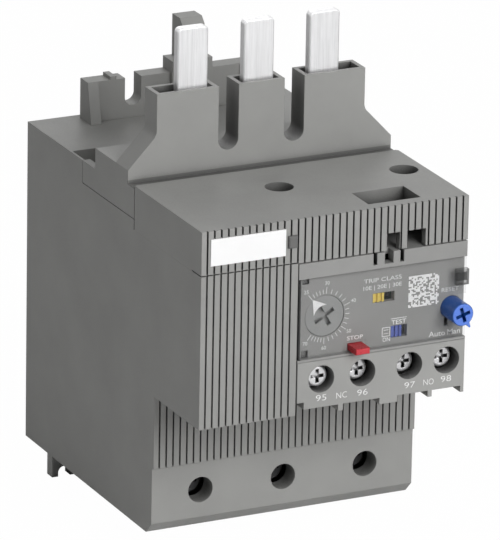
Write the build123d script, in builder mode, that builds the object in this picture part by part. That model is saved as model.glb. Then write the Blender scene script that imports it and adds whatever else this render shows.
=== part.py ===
"""A plug-on electronic overload relay: moulded body, current path, control module and trip contacts.

X runs to the right, Y to the back and Z up, in millimetres. The origin is the middle of the
lower edge of the rear mounting face. Depths are measured back from the front face.
"""

from build123d import *
import os

# Moulded body
BODY_WIDTH = 70.0
BODY_DEPTH = 99.2
FRONT_TOP = 84.9
WALL = 2.0
REAR_DROP = 2.7
COVER_HEIGHT = 11.0
COVER_DEPTH = 37.3
PANEL_HEIGHT = 38.1
OVERHANG = 24.6
BAND_TOP = 17.3
BAND_STEP = 0.8
BOTTOM_CHAMFER = 2.95
SEAM = 0.3
SEAM_WRAP = 5.0
COVER_SEAM = 0.35
FLAP_SEAM = 0.18
FLAP_SEAM_DEPTH = 0.4
GULLY = 7.2
GULLY_WALL = 0.6
PARTITION = 1.6

# Vertical grooves that make the ribs
RIB_PITCH = 1.81
GROOVE_COUNT = 38
GROOVE_WIDTH = 0.45
GROOVE_DEPTH = 0.6

# Lugs under the rear corners
LUG_WIDTH = 6.5
LUG_DEPTH = 3.0
LUG_HEIGHT = 5.5
LUG_FROM_REAR = 13.2
LUG_NOTCH = 3.2
LUG_NOTCH_HEIGHT = 2.6

# Top cover details
LABEL_LEFT = 2.3
LABEL_WIDTH = 19.5
LABEL_HEIGHT = 6.6
LABEL_RAISE = 2.4
LABEL_DEPTH = 0.8
LABEL_PROUD = 0.25
LATCH_WIDTH = 2.3
LATCH_HEIGHT = 3.0
LATCH_GAP = 0.6
LATCH_PROUD = 0.8
TOP_HOLE_RADIUS = 3.5
TOP_HOLE_X = 6.1
TOP_HOLE_INSET = 5.5
TOP_HOLE_DEPTH = 23.2
TOP_HOLE_TUBE = 5.0
TUBE_WALL = 1.2
POCKET_X = 19.8
POCKET_FRONT = 3.4
POCKET_LENGTH = 8.9
POCKET_WIDTH = 13.8
POCKET_SINK = 5.0
POCKET_RAMP = 4.5
EDGE_SLOTS = ((23.55, 3.1), (28.8, 4.7))
EDGE_SLOT_HEIGHT = 4.3

# Terminal shroud
SEAT_DROP = 5.8
SHROUD_FRONT = 40.9
SOCKET_DEPTH = 6.9
SLAB_REAR = 59.5
FLAP_REAR = 66.8
SLAB_RISE = 2.6
SHROUD_LEDGE = 0.7
SOCKET_WALL = 1.1
SOCKET_RISE = 18.0
SOCKET_FLOOR = 4.0
FLARE = 7.4
FLARE_RISE = 7.8
SLOT_WIDTH = 5.3
SLOT_BOTTOM_RISE = 1.9

# Bars through the relay
BLADE_PITCH = 17.44
PHASE_PITCH = 22.05
BLADE_WIDTH = 8.0
BLADE_THICKNESS = 2.4
BLADE_CORNER = 1.2
BLADE_BEVEL = 0.3
BLADE_RISE = 15.0
BLADE_SETBACK = 1.9
BAR_END_WIDTH = 11.6
BAR_BOTTOM = 3.2
BAR_JOG_DROP = 3.0
BAR_JOG_HEIGHT = 6.0
BAR_GAP = 0.2

# Load terminals
ACCESS_RADIUS = 3.25
ACCESS_Z = 9.93
TUNNEL_LENGTH = 5.0
TERMINAL_TOP = 26.0
TERMINAL_REAR = 59.5
CLAMP_WALL = 1.3
CLAMP_FRONT_WALL = 2.2
CLAMP_REAR_WALL = 2.0
CLAMP_HEIGHT = 15.5
CLAMP_GAP = 0.4
CLAMP_BAR_GAP = 1.1
CONDUCTOR_SPACE = 11.0
SCREW_RADIUS = 2.5
SCREW_HEAD_RADIUS = 2.9
SCREW_HEAD_LENGTH = 2.2
SCREW_HEAD_SETBACK = 1.6
THREAD_GAP = 0.05
SCREW_SLOT = 0.9
SCREW_SLOT_DEPTH = 1.2

# Current transformers
CORE_WIDTH = 19.0
CORE_LEG = 3.5
CORE_HEIGHT = 14.0
CORE_FRONT_BAR = 3.6
CORE_REAR_BAR = 5.0
CORE_LENGTH = 35.4
CORE_CLEAR = 0.3
WINDING_WALL = 5.0
WINDING_SIDE_GAP = 0.2
CORE_LIFT = 7.3

# Rear cover and its screws
REAR_COVER_THICKNESS = 2.5
COVER_GAP = 0.15
BOSS_RADIUS = 3.6
BOSS_LENGTH = 12.0
BOSS_INSET = 5.3
COVER_SCREW_RADIUS = 1.25
COVER_SCREW_HEAD = 2.6
COVER_SCREW_LENGTH = 8.0

# Bracket and hook for the contactor
BRACKET_WIDTH = 44.0
BRACKET_THICKNESS = 4.4
BRACKET_HEIGHT = 10.3
BRACKET_FROM_REAR = 2.3
GUSSET_WIDTH = 2.8
GUSSET_FOOT = 2.3
BRACKET_NOTCH_X = -9.75
BRACKET_NOTCH_WIDTH = 4.4
BRACKET_NOTCH_DEPTH = 7.2
NUB_X = -15.1
NUB_WIDTH = 1.6
NUB_HEIGHT = 0.8
HOOK_BLOCK_X = 5.7
HOOK_BLOCK_WIDTH = 10.8
HOOK_BLOCK_HEIGHT = 13.4
HOOK_BLOCK_DEPTH = 1.3
HOOK_WIDTH = 6.0
HOOK_STEM = 3.0
HOOK_HEIGHT = 23.9
HOOK_NOSE = 5.9
HOOK_NOSE_HEIGHT = 2.3
HOOK_NOSE_RADIUS = 1.6

# Control module
MODULE_WIDTH = 44.8
MODULE_DEPTH = 20.0
MODULE_GAP = 0.1
MODULE_WALL = 1.5
HEADER_HEIGHT = 3.9
FACE_HEIGHT = 20.2
FACE_DEPTH = 1.3
LIP_HEIGHT = 0.6
AUX_HEIGHT = 11.8
NOTCH_DEPTH = 2.9
HEADER_NOTCHES = ((19.8, 1.0), (22.8, 2.3), (26.9, 1.0))
HINGE_RECESS = 1.8

# Clear cover
CLEAR_THICKNESS = 1.0
CLEAR_GAP = 0.1
HINGE_INSET = 0.9
HINGE_PIN_RADIUS = 0.35
HINGE_PIN_LENGTH = 0.45
KNOB_NOTCH = 0.7
STOP_NOTCH = 0.7
EYELET_DROP = 2.6
EYELET_HEIGHT = 3.9
EYELET_WIDTH = 3.9
EYELET_PROUD = 1.4
EYELET_WALL = 0.9

# Dial, slides and buttons, placed from the module's left edge and the top of its face
DIAL_X = 7.8
DIAL_DROP = 10.3
DIAL_RADIUS = 5.1
DIAL_FLANGE = 1.0
DIAL_SHAFT_RADIUS = 1.5
DIAL_SLOT = 1.1
DIAL_SLOT_LENGTH = 5.6
DIAL_SLOT_ANGLE = 30.0
RUN_GAP = 0.08
CLASS_X = 20.5
CLASS_DROP = 7.8
CLASS_WINDOW = 5.75
CLASS_TRAVEL = 2.6
CLASS_HEIGHT = 2.4
TEST_X = 25.5
TEST_DROP = 16.9
TEST_WINDOW = 4.35
TEST_TRAVEL = 1.35
TEST_HEIGHT = 3.0
SLIDE_GAP = 0.1
SLIDE_LIP = 0.8
RIDGE_DEPTH = 0.4
STOP_X = 16.0
STOP_WIDTH = 3.7
STOP_HEIGHT = 1.5
STOP_DROP = 19.0
STOP_PROUD = 3.2
STOP_STEM_RADIUS = 0.9
STOP_TRAVEL = 1.8
RESET_FROM_RIGHT = 3.3
RESET_DROP = 12.8
RESET_RADIUS = 2.8
RESET_PROUD = 5.0
RESET_SPINDLE = 1.5
RESET_COLLAR = 3.1
COLLAR_LENGTH = 1.2
RESET_ROD_RADIUS = 1.2
RESET_ROD_END = 22.0
KNOB_BORE_DEPTH = 4.9
KNOB_SLOT = 0.9
KNOB_SLOT_LENGTH = 3.8
KNOB_SLOT_DEPTH = 1.8
KNOB_SLOT_ANGLE = 17.0
KEY_X = -1.3
KEY_DROP = 3.5
KEY_SIZE = (1.0, 2.0)
POINTER_LENGTH = 1.0
POINTER_WIDTH = 0.7
POINTER_DEPTH = 3.2
POINTER_ANGLE = 60.0
FLANGE = 1.0
FLANGE_GAP = 0.1

# Springs
SPRING_WIRE = 0.3
STOP_SPRING_RADIUS = 1.45
STOP_SPRING_TURNS = 5
RESET_SPRING_RADIUS = 2.2
RESET_SPRING_TURNS = 5
SPRING_SEAT = 10.0
SEAT_THICKNESS = 1.2
SEAT_TOP = 3.6
SEAT_RIB_LIFT = 2.1

# Electronics
BOARD_DEPTH = 13.0
BOARD_THICKNESS = 1.6
BOARD_DROP = 0.4
BOARD_HEIGHT = 19.4
POT_WIDTH = 9.5
POT_LENGTH = 6.2
SWITCH_WIDTH = 8.6
SWITCH_HEIGHT = 4.6
SWITCH_LENGTH = 5.6
CHIP_SIZES = ((9.0, 9.0, 1.6), (6.0, 5.0, 1.5), (4.0, 4.0, 1.2))
CHIP_X = (10.0, 24.0, 34.0)

# Auxiliary terminals, from the module's left edge
AUX_X = (6.7, 17.6, 30.1, 40.0)
AUX_HEAD_DEPTHS = (2.2, 3.2, 3.5, 2.9)
AUX_SCREW_RISE = 7.1
AUX_ACCESS_RADIUS = 3.4
AUX_BORE_DEPTH = 4.0
AUX_HEAD_RADIUS = 2.7
AUX_HEAD_LENGTH = 2.0
AUX_SHANK_RADIUS = 1.7
AUX_SHANK_LENGTH = 6.2
AUX_POCKET = 7.0
AUX_POCKET_REAR = 16.0
AUX_PLATE = 6.2
AUX_PLATE_THICKNESS = 1.0
AUX_ENTRY_WIDTH = 5.2
AUX_FINS = ((11.3, 1.3), (22.3, 4.7), (35.2, 1.1), (43.9, 0.9))
AUX_FIN_DROP = 1.6
AUX_FIN_LENGTH = 5.0
AUX_CORNER_NOTCH = 2.1
AUX_CORNER_RISE = 1.8

# Contacts
STRIP_FRONT = 8.7
STRIP_THICKNESS = 1.2
STRIP_WIDTH = 6.4
STRIP_HEIGHT = 6.4
STRIP_ARM = 3.0
CONTACT_DEPTH = 26.2
CONTACT_THICKNESS = 1.0
CONTACT_RADIUS = 1.2
CONTACT_HEIGHT = 0.6
BRIDGE_THICKNESS = 1.0
BRIDGE_HEIGHT = 3.6
BRIDGE_OVERHANG = 1.8
CONTACT_GAP = 0.05
CARRIER_TRAVEL = 2.0
CARRIER_THICKNESS = 2.2
CARRIER_LIFT = 0.3
CARRIER_ARM = 3.0
FINGER_GAP = 0.3
FINGER_THICKNESS = 1.4
POST_WIDTH = 3.6
POST_WALL = 1.2

# Trip magnet
MAGNET_LEFT = 4.0
MAGNET_WIDTH = 16.0
MAGNET_FRONT = 5.0
MAGNET_LENGTH = 20.6
YOKE_THICKNESS = 1.6
YOKE_HEIGHT = 19.0
COIL_RADIUS = 6.6
COIL_RISE = 10.4
PLUNGER_RADIUS = 2.5
PLUNGER_NECK = 1.9
PLUNGER_INSIDE = 7.0
BOBBIN_LIP = 0.8

# Values worked out from the sizes above
HALF_WIDTH = BODY_WIDTH / 2
REAR_TOP = FRONT_TOP - REAR_DROP
SEAM_Z = FRONT_TOP - COVER_HEIGHT
OVERHANG_Z = SEAM_Z - PANEL_HEIGHT
SEAT_Z = REAR_TOP - SEAT_DROP
BAND_FACE = OVERHANG + BAND_STEP
DECK_FRONT = FLAP_REAR + GULLY
INNER = HALF_WIDTH - WALL
FLOOR_Z = OVERHANG_Z + WALL
CHAMBER_FLOOR = TERMINAL_TOP + WALL
BLADE_FRONT = SHROUD_FRONT + BLADE_SETBACK
BLADE_REAR = BLADE_FRONT + BLADE_THICKNESS
BLADE_XS = (-BLADE_PITCH, 0.0, BLADE_PITCH)
PHASE_XS = (-PHASE_PITCH, 0.0, PHASE_PITCH)
TUNNEL_END = BAND_FACE + TUNNEL_LENGTH
REAR_INNER = BODY_DEPTH - REAR_COVER_THICKNESS
SLAB_TOP = FRONT_TOP + SLAB_RISE
SOCKET_TOP = SLAB_TOP + SOCKET_RISE
SOCKET_EDGE = HALF_WIDTH - FLARE
SLOT_X = BLADE_PITCH / 2
MODULE_LEFT = HALF_WIDTH - MODULE_WIDTH
MODULE_TOP = SEAM_Z - SEAM
FACE_TOP = MODULE_TOP - HEADER_HEIGHT
FACE_BOTTOM = FACE_TOP - FACE_HEIGHT
AUX_TOP = FACE_BOTTOM - LIP_HEIGHT - MODULE_GAP
AUX_BOTTOM = AUX_TOP - AUX_HEIGHT
AUX_SCREW_Z = AUX_BOTTOM + AUX_SCREW_RISE
AUX_XS = tuple(MODULE_LEFT + x for x in AUX_X)
FACE_BACK = FACE_DEPTH + MODULE_WALL
CLAMP_INNER = BAR_END_WIDTH + 2 * CLAMP_GAP
CLAMP_WIDTH = CLAMP_INNER + 2 * CLAMP_WALL
CLAMP_FRONT = BLADE_FRONT - CLAMP_BAR_GAP - CLAMP_FRONT_WALL
CLAMP_REAR = BLADE_REAR + CONDUCTOR_SPACE + CLAMP_REAR_WALL
CLAMP_BOTTOM = WALL + CLAMP_GAP
CORE_FRONT = COVER_DEPTH + CORE_CLEAR
CORE_REAR = CORE_FRONT + CORE_LENGTH
CORE_BOTTOM = CHAMBER_FLOOR + CORE_LIFT
BRACKET_REAR = BODY_DEPTH - BRACKET_FROM_REAR
BRACKET_FRONT = BRACKET_REAR - BRACKET_THICKNESS
DIAL_CENTRE = (MODULE_LEFT + DIAL_X, FACE_TOP - DIAL_DROP)
STOP_CENTRE = (MODULE_LEFT + STOP_X, FACE_TOP - STOP_DROP)
RESET_CENTRE = (HALF_WIDTH - RESET_FROM_RIGHT, FACE_TOP - RESET_DROP)
CLASS_WINDOW_LEFT = MODULE_LEFT + CLASS_X
CLASS_Z = FACE_TOP - CLASS_DROP
TEST_WINDOW_LEFT = MODULE_LEFT + TEST_X
TEST_Z = FACE_TOP - TEST_DROP
HINGE_X = MODULE_LEFT + HINGE_INSET
HINGE_DEPTH = CLEAR_THICKNESS / 2
BOARD_TOP = MODULE_TOP - MODULE_WALL - BOARD_DROP
BOARD_BOTTOM = BOARD_TOP - BOARD_HEIGHT
BRIDGE_Z = AUX_SCREW_Z
STRIP_TOP = AUX_SCREW_Z + STRIP_HEIGHT / 2
CARRIER_BOTTOM = FLOOR_Z + CARRIER_LIFT
CARRIER_TOP = CARRIER_BOTTOM + CARRIER_THICKNESS
NC_BRIDGE_FRONT = CONTACT_DEPTH + CONTACT_THICKNESS + 2 * CONTACT_HEIGHT + CONTACT_GAP
NO_BRIDGE_REAR = CONTACT_DEPTH - 2 * CONTACT_HEIGHT - CARRIER_TRAVEL - CONTACT_GAP
NO_BRIDGE_FRONT = NO_BRIDGE_REAR - BRIDGE_THICKNESS
NC_MIDDLE = (AUX_XS[0] + AUX_XS[1]) / 2
NO_MIDDLE = (AUX_XS[2] + AUX_XS[3]) / 2
POST_REAR = NC_BRIDGE_FRONT + BRIDGE_THICKNESS + STOP_TRAVEL + CARRIER_LIFT + POST_WALL
MAGNET_X = -HALF_WIDTH + MAGNET_LEFT + MAGNET_WIDTH / 2
MAGNET_Z = FLOOR_Z + COIL_RISE
MAGNET_REAR = MAGNET_FRONT + MAGNET_LENGTH


def depth(distance):
    """The Y coordinate of a distance behind the front face."""
    return distance - BODY_DEPTH


def front_plane(distance):
    """The upright plane at a depth, drawn as seen from the front."""
    return Plane.XZ.offset(-depth(distance))


def rectangle(left, right, low, high, mode=Mode.ADD):
    """A rectangle between two corners of the sketch."""
    with Locations(((left + right) / 2, (low + high) / 2)):
        Rectangle(right - left, high - low, mode=mode)


def block(x_limits, depths, z_limits, mode=Mode.ADD):
    """A straight block drawn on the front plane and pushed back."""
    with BuildSketch(front_plane(depths[0])) as outline:
        rectangle(*x_limits, *z_limits)
    extrude(outline.sketch, amount=depths[1] - depths[0], dir=(0, 1, 0), mode=mode)


def rod(centre, radius, depths, mode=Mode.ADD):
    """A round bar that runs from front to back."""
    with BuildSketch(front_plane(depths[0])) as outline:
        with Locations(centre):
            Circle(radius)
    extrude(outline.sketch, amount=depths[1] - depths[0], dir=(0, 1, 0), mode=mode)


def cross_slot(centre, front, length, width, sink, angle=0.0):
    """A cross recess cut into a face that looks forward, turned by an angle."""
    with BuildSketch(front_plane(front)) as outline:
        with Locations(centre):
            Rectangle(length, width, rotation=angle)
            Rectangle(width, length, rotation=angle)
    extrude(outline.sketch, amount=sink, dir=(0, 1, 0), mode=Mode.SUBTRACT)


def grooves(x_limits, front, z_limits):
    """The rib grooves that lie between two X limits."""
    first = -(GROOVE_COUNT - 1) / 2
    places = [(first + index) * RIB_PITCH for index in range(GROOVE_COUNT)]
    inside = [x for x in places if x_limits[0] + RIB_PITCH / 2 < x < x_limits[1] - RIB_PITCH / 2]
    for x in inside:
        sides = (x - GROOVE_WIDTH / 2, x + GROOVE_WIDTH / 2)
        block(sides, (front, front + GROOVE_DEPTH), z_limits, Mode.SUBTRACT)


def both_sides(x_limits):
    """A pair of X limits and its mirror image."""
    return (x_limits, (-x_limits[1], -x_limits[0]))


def save(piece, name):
    """Names a finished piece and writes it to its own file."""
    piece.part.label = name
    export_step(piece.part, f"parts/{name}.step")


def housing_profile():
    """The body seen from its side, from the underside's front edge round."""
    return [
        (depth(BAND_FACE + BOTTOM_CHAMFER), 0),
        (depth(BAND_FACE), BOTTOM_CHAMFER),
        (depth(BAND_FACE), BAND_TOP),
        (depth(OVERHANG), BAND_TOP),
        (depth(OVERHANG), OVERHANG_Z),
        (depth(0), OVERHANG_Z),
        (depth(0), SEAM_Z),
        (depth(COVER_DEPTH), SEAM_Z),
        (depth(COVER_DEPTH), SEAT_Z),
        (depth(DECK_FRONT), SEAT_Z),
        (depth(DECK_FRONT), REAR_TOP),
        (depth(BODY_DEPTH), REAR_TOP),
        (depth(BODY_DEPTH), 0),
    ]


def phase_chambers():
    """The X limits of the three chambers that hold the transformers."""
    edge = PHASE_PITCH / 2
    near = PARTITION / 2
    return ((-INNER, -edge - near), (-edge + near, edge - near), (edge + near, INNER))


def boss_centres():
    """Where the rear cover's four screws go."""
    side = HALF_WIDTH - BOSS_INSET
    return [(x, z) for x in (-side, side) for z in (BOSS_INSET, REAR_TOP - BOSS_INSET)]


def make_main_housing():
    """The moulded body, open at the back, with its chambers and terminal tunnels."""
    with BuildPart() as housing:
        with BuildSketch(Plane.YZ):
            with BuildLine():
                Polyline(*housing_profile(), close=True)
            make_face()
        extrude(amount=HALF_WIDTH, both=True)
        for side in both_sides((HALF_WIDTH - GULLY_WALL, HALF_WIDTH)):
            block(side, (FLAP_REAR, DECK_FRONT), (SEAT_Z, REAR_TOP))

        # Space for the control module, and the front chamber behind it
        block((MODULE_LEFT, HALF_WIDTH), (0, MODULE_DEPTH), (OVERHANG_Z, SEAM_Z), Mode.SUBTRACT)
        front_chamber = (WALL, COVER_DEPTH - WALL)
        block((-INNER, INNER), front_chamber, (FLOOR_Z, SEAM_Z), Mode.SUBTRACT)

        # Three transformer chambers, open at the back
        for chamber in phase_chambers():
            block(chamber, (COVER_DEPTH, BODY_DEPTH), (CHAMBER_FLOOR, SEAT_Z - WALL), Mode.SUBTRACT)
            block(chamber, (BAND_FACE + WALL, COVER_DEPTH), (CHAMBER_FLOOR, OVERHANG_Z), Mode.SUBTRACT)
        upper = (SEAT_Z - WALL, REAR_TOP - WALL)
        block((-INNER, INNER), (DECK_FRONT + WALL, BODY_DEPTH), upper, Mode.SUBTRACT)
        lower = (WALL, TERMINAL_TOP)
        block((-INNER, INNER), (TERMINAL_REAR + WALL, BODY_DEPTH), lower, Mode.SUBTRACT)
        cover_seat = (WALL, REAR_TOP - WALL)
        block((-INNER, INNER), (REAR_INNER, BODY_DEPTH), cover_seat, Mode.SUBTRACT)

        # Rails that the transformer cores rest on
        for x in PHASE_XS:
            for side in both_sides((CORE_WIDTH / 2 - CORE_LEG + CORE_CLEAR, CORE_WIDTH / 2)):
                rail = (x + side[0], x + side[1])
                block(rail, (COVER_DEPTH, CORE_REAR), (CHAMBER_FLOOR, CORE_BOTTOM))

        # Load terminals: screw tunnel, clamp chamber and conductor entry from below
        for x in PHASE_XS:
            rod((x, ACCESS_Z), ACCESS_RADIUS, (OVERHANG, TUNNEL_END), Mode.SUBTRACT)
            half = CLAMP_WIDTH / 2 + CLAMP_GAP
            block((x - half, x + half), (TUNNEL_END, TERMINAL_REAR), lower, Mode.SUBTRACT)
            entry = (x - CLAMP_INNER / 2, x + CLAMP_INNER / 2)
            entry_depths = (BLADE_REAR + CLAMP_GAP, CLAMP_REAR - CLAMP_GAP)
            block(entry, entry_depths, (0, WALL), Mode.SUBTRACT)
            bar = (x - BLADE_WIDTH / 2 - BAR_GAP, x + BLADE_WIDTH / 2 + BAR_GAP)
            bar_depths = (BLADE_FRONT - BAR_GAP, BLADE_REAR + BAR_GAP)
            block(bar, bar_depths, (TERMINAL_TOP, CHAMBER_FLOOR), Mode.SUBTRACT)
        for x in BLADE_XS:
            bar = (x - BLADE_WIDTH / 2 - BAR_GAP, x + BLADE_WIDTH / 2 + BAR_GAP)
            bar_depths = (BLADE_FRONT - BAR_GAP, BLADE_REAR + BAR_GAP)
            block(bar, bar_depths, (SEAT_Z - WALL, SEAT_Z), Mode.SUBTRACT)

        # Bosses for the rear cover's screws
        for centre in boss_centres():
            rod(centre, BOSS_RADIUS, (REAR_INNER - BOSS_LENGTH, REAR_INNER))
            pilot = (REAR_INNER - COVER_SCREW_LENGTH, REAR_INNER)
            rod(centre, COVER_SCREW_RADIUS + THREAD_GAP, pilot, Mode.SUBTRACT)

        # Lugs under the rear corners, each with a notch open at its lower edge
        lug_rear = BODY_DEPTH - LUG_FROM_REAR
        lug_depths = (lug_rear - LUG_DEPTH, lug_rear)
        for side in both_sides((HALF_WIDTH - LUG_WIDTH, HALF_WIDTH)):
            block(side, lug_depths, (-LUG_HEIGHT, 0))
            middle = (side[0] + side[1]) / 2
            arch = LUG_NOTCH_HEIGHT - LUG_HEIGHT - LUG_NOTCH / 2
            rod((middle, arch), LUG_NOTCH / 2, lug_depths, Mode.SUBTRACT)
            notch = (middle - LUG_NOTCH / 2, middle + LUG_NOTCH / 2)
            block(notch, lug_depths, (-LUG_HEIGHT, arch), Mode.SUBTRACT)

        grooves((-HALF_WIDTH, MODULE_LEFT), 0, (OVERHANG_Z, SEAM_Z))
        grooves((-HALF_WIDTH, HALF_WIDTH), OVERHANG, (BAND_TOP, OVERHANG_Z))
    return housing


def make_rear_cover():
    """The plate that closes the body, flush with the rear mounting face."""
    gap = WALL + COVER_GAP
    with BuildPart() as cover:
        block((gap - HALF_WIDTH, HALF_WIDTH - gap), (REAR_INNER, BODY_DEPTH), (gap, REAR_TOP - gap))
        for centre in boss_centres():
            rod(centre, COVER_SCREW_RADIUS + THREAD_GAP, (REAR_INNER, BODY_DEPTH), Mode.SUBTRACT)
            with BuildSketch(front_plane(BODY_DEPTH)) as mouth:
                with Locations(centre):
                    Circle(COVER_SCREW_HEAD + THREAD_GAP)
            sink = COVER_SCREW_HEAD - COVER_SCREW_RADIUS
            extrude(mouth.sketch, amount=sink, dir=(0, -1, 0), taper=45, mode=Mode.SUBTRACT)
    return cover


def make_cover_screws():
    """Four countersunk screws, one solid each."""
    with BuildPart() as screws:
        for centre in boss_centres():
            rod(centre, COVER_SCREW_RADIUS, (REAR_INNER - COVER_SCREW_LENGTH, BODY_DEPTH))
            with BuildSketch(front_plane(BODY_DEPTH)) as head:
                with Locations(centre):
                    Circle(COVER_SCREW_HEAD)
            extrude(head.sketch, amount=COVER_SCREW_HEAD - COVER_SCREW_RADIUS, dir=(0, -1, 0), taper=45)
            with BuildSketch(front_plane(BODY_DEPTH)) as recess:
                with Locations(centre):
                    Rectangle(COVER_SCREW_HEAD, SCREW_SLOT / 2)
                    Rectangle(SCREW_SLOT / 2, COVER_SCREW_HEAD)
            extrude(recess.sketch, amount=SCREW_SLOT, dir=(0, -1, 0), mode=Mode.SUBTRACT)
    return screws


def label_limits():
    """The X and Z limits of the label's place."""
    left = LABEL_LEFT - HALF_WIDTH
    low = SEAM_Z + LABEL_RAISE
    return (left, left + LABEL_WIDTH), (low, low + LABEL_HEIGHT)


def latch_limits():
    """The X and Z limits of the small latch beside the label."""
    (_, right), (low, high) = label_limits()
    left = right + LATCH_GAP
    middle = (low + high) / 2
    return (left, left + LATCH_WIDTH), (middle - LATCH_HEIGHT / 2, middle + LATCH_HEIGHT / 2)


def top_hole_centres():
    """The two round holes in the top cover, as X and depth."""
    return ((MODULE_LEFT + TOP_HOLE_X, TOP_HOLE_DEPTH), (HALF_WIDTH - TOP_HOLE_INSET, TOP_HOLE_DEPTH))


def make_top_cover():
    """The ribbed cover over the front part, open underneath."""
    with BuildPart() as cover:
        block((-HALF_WIDTH, HALF_WIDTH), (0, COVER_DEPTH), (SEAM_Z, FRONT_TOP))
        inside = (SEAM_Z, FRONT_TOP - WALL)
        block((-INNER, INNER), (WALL, COVER_DEPTH - WALL), inside, Mode.SUBTRACT)
        grooves((-HALF_WIDTH, HALF_WIDTH), 0, (SEAM_Z, FRONT_TOP))

        # Seam line along the left panel and a little way round the side
        block((-HALF_WIDTH, MODULE_LEFT), (0, GROOVE_DEPTH), (SEAM_Z, SEAM_Z + SEAM), Mode.SUBTRACT)
        wrap = (-HALF_WIDTH, SEAM - HALF_WIDTH)
        block(wrap, (0, SEAM_WRAP), (SEAM_Z, SEAM_Z + SEAM), Mode.SUBTRACT)
        for side in both_sides((HALF_WIDTH - FLAP_SEAM_DEPTH, HALF_WIDTH)):
            block(side, (COVER_DEPTH - COVER_SEAM, COVER_DEPTH), (SEAM_Z, FRONT_TOP), Mode.SUBTRACT)

        # Place of the label and its latch
        label_x, label_z = label_limits()
        block(label_x, (0, LABEL_DEPTH), label_z, Mode.SUBTRACT)
        latch_x, latch_z = latch_limits()
        block(latch_x, (0, LABEL_DEPTH), latch_z, Mode.SUBTRACT)

        # Two slots at the lower edge, over the header
        slot_z = (SEAM_Z, SEAM_Z + EDGE_SLOT_HEIGHT)
        for left, width in EDGE_SLOTS:
            slot_x = (MODULE_LEFT + left, MODULE_LEFT + left + width)
            block(slot_x, (0, WALL), slot_z, Mode.SUBTRACT)

        # Pocket with a ramp on its left
        left = MODULE_LEFT + POCKET_X
        right = left + POCKET_WIDTH
        pocket_depths = (POCKET_FRONT, POCKET_FRONT + POCKET_LENGTH)
        tray = (POCKET_FRONT - TUBE_WALL, POCKET_FRONT + POCKET_LENGTH + TUBE_WALL)
        floor = FRONT_TOP - POCKET_SINK
        block((left, right + TUBE_WALL), tray, (floor - TUBE_WALL, FRONT_TOP))
        with BuildSketch(front_plane(pocket_depths[0])) as ramp:
            with BuildLine():
                low_corners = [(left + POCKET_RAMP, floor), (right, floor)]
                Polyline((left, FRONT_TOP), *low_corners, (right, FRONT_TOP), close=True)
            make_face()
        extrude(ramp.sketch, amount=POCKET_LENGTH, dir=(0, 1, 0), mode=Mode.SUBTRACT)

        # Two round holes with short tubes below them
        for x, distance in top_hole_centres():
            with BuildSketch(Plane.XY.offset(FRONT_TOP)) as tube:
                with Locations((x, depth(distance))):
                    Circle(TOP_HOLE_RADIUS + TUBE_WALL)
            extrude(tube.sketch, amount=TOP_HOLE_TUBE, dir=(0, 0, -1))
            with BuildSketch(Plane.XY.offset(FRONT_TOP)) as hole:
                with Locations((x, depth(distance))):
                    Circle(TOP_HOLE_RADIUS)
            extrude(hole.sketch, amount=TOP_HOLE_TUBE, dir=(0, 0, -1), mode=Mode.SUBTRACT)
    return cover


def make_marker_label():
    """The blank label that snaps into its place on the cover."""
    label_x, label_z = label_limits()
    with BuildPart() as label:
        block(label_x, (-LABEL_PROUD, LABEL_DEPTH), label_z)
        front = label.faces().sort_by(Axis.Y)[0]
        fillet(front.edges(), LABEL_PROUD / 2)
    return label


def make_marker_latch():
    """The small square latch that holds the label."""
    latch_x, latch_z = latch_limits()
    with BuildPart() as latch:
        block(latch_x, (-LATCH_PROUD, LABEL_DEPTH), latch_z)
        front = latch.faces().sort_by(Axis.Y)[0]
        chamfer(front.edges(), LATCH_PROUD / 3)
    return latch


def shroud_outline():
    """The shroud's front wall: a full-width foot, flared shoulders and the socket block."""
    return [
        (-HALF_WIDTH, REAR_TOP),
        (HALF_WIDTH, REAR_TOP),
        (HALF_WIDTH, SLAB_TOP),
        (SOCKET_EDGE, SLAB_TOP + FLARE_RISE),
        (SOCKET_EDGE, SOCKET_TOP),
        (-SOCKET_EDGE, SOCKET_TOP),
        (-SOCKET_EDGE, SLAB_TOP + FLARE_RISE),
        (-HALF_WIDTH, SLAB_TOP),
    ]


def socket_limits():
    """The inner X limits of the three sockets."""
    near = SLOT_X - SLOT_WIDTH / 2 - SOCKET_WALL
    far = SLOT_X + SLOT_WIDTH / 2 + SOCKET_WALL
    end = SOCKET_EDGE - SOCKET_WALL
    return ((-end, -far), (-near, near), (far, end))


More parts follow.
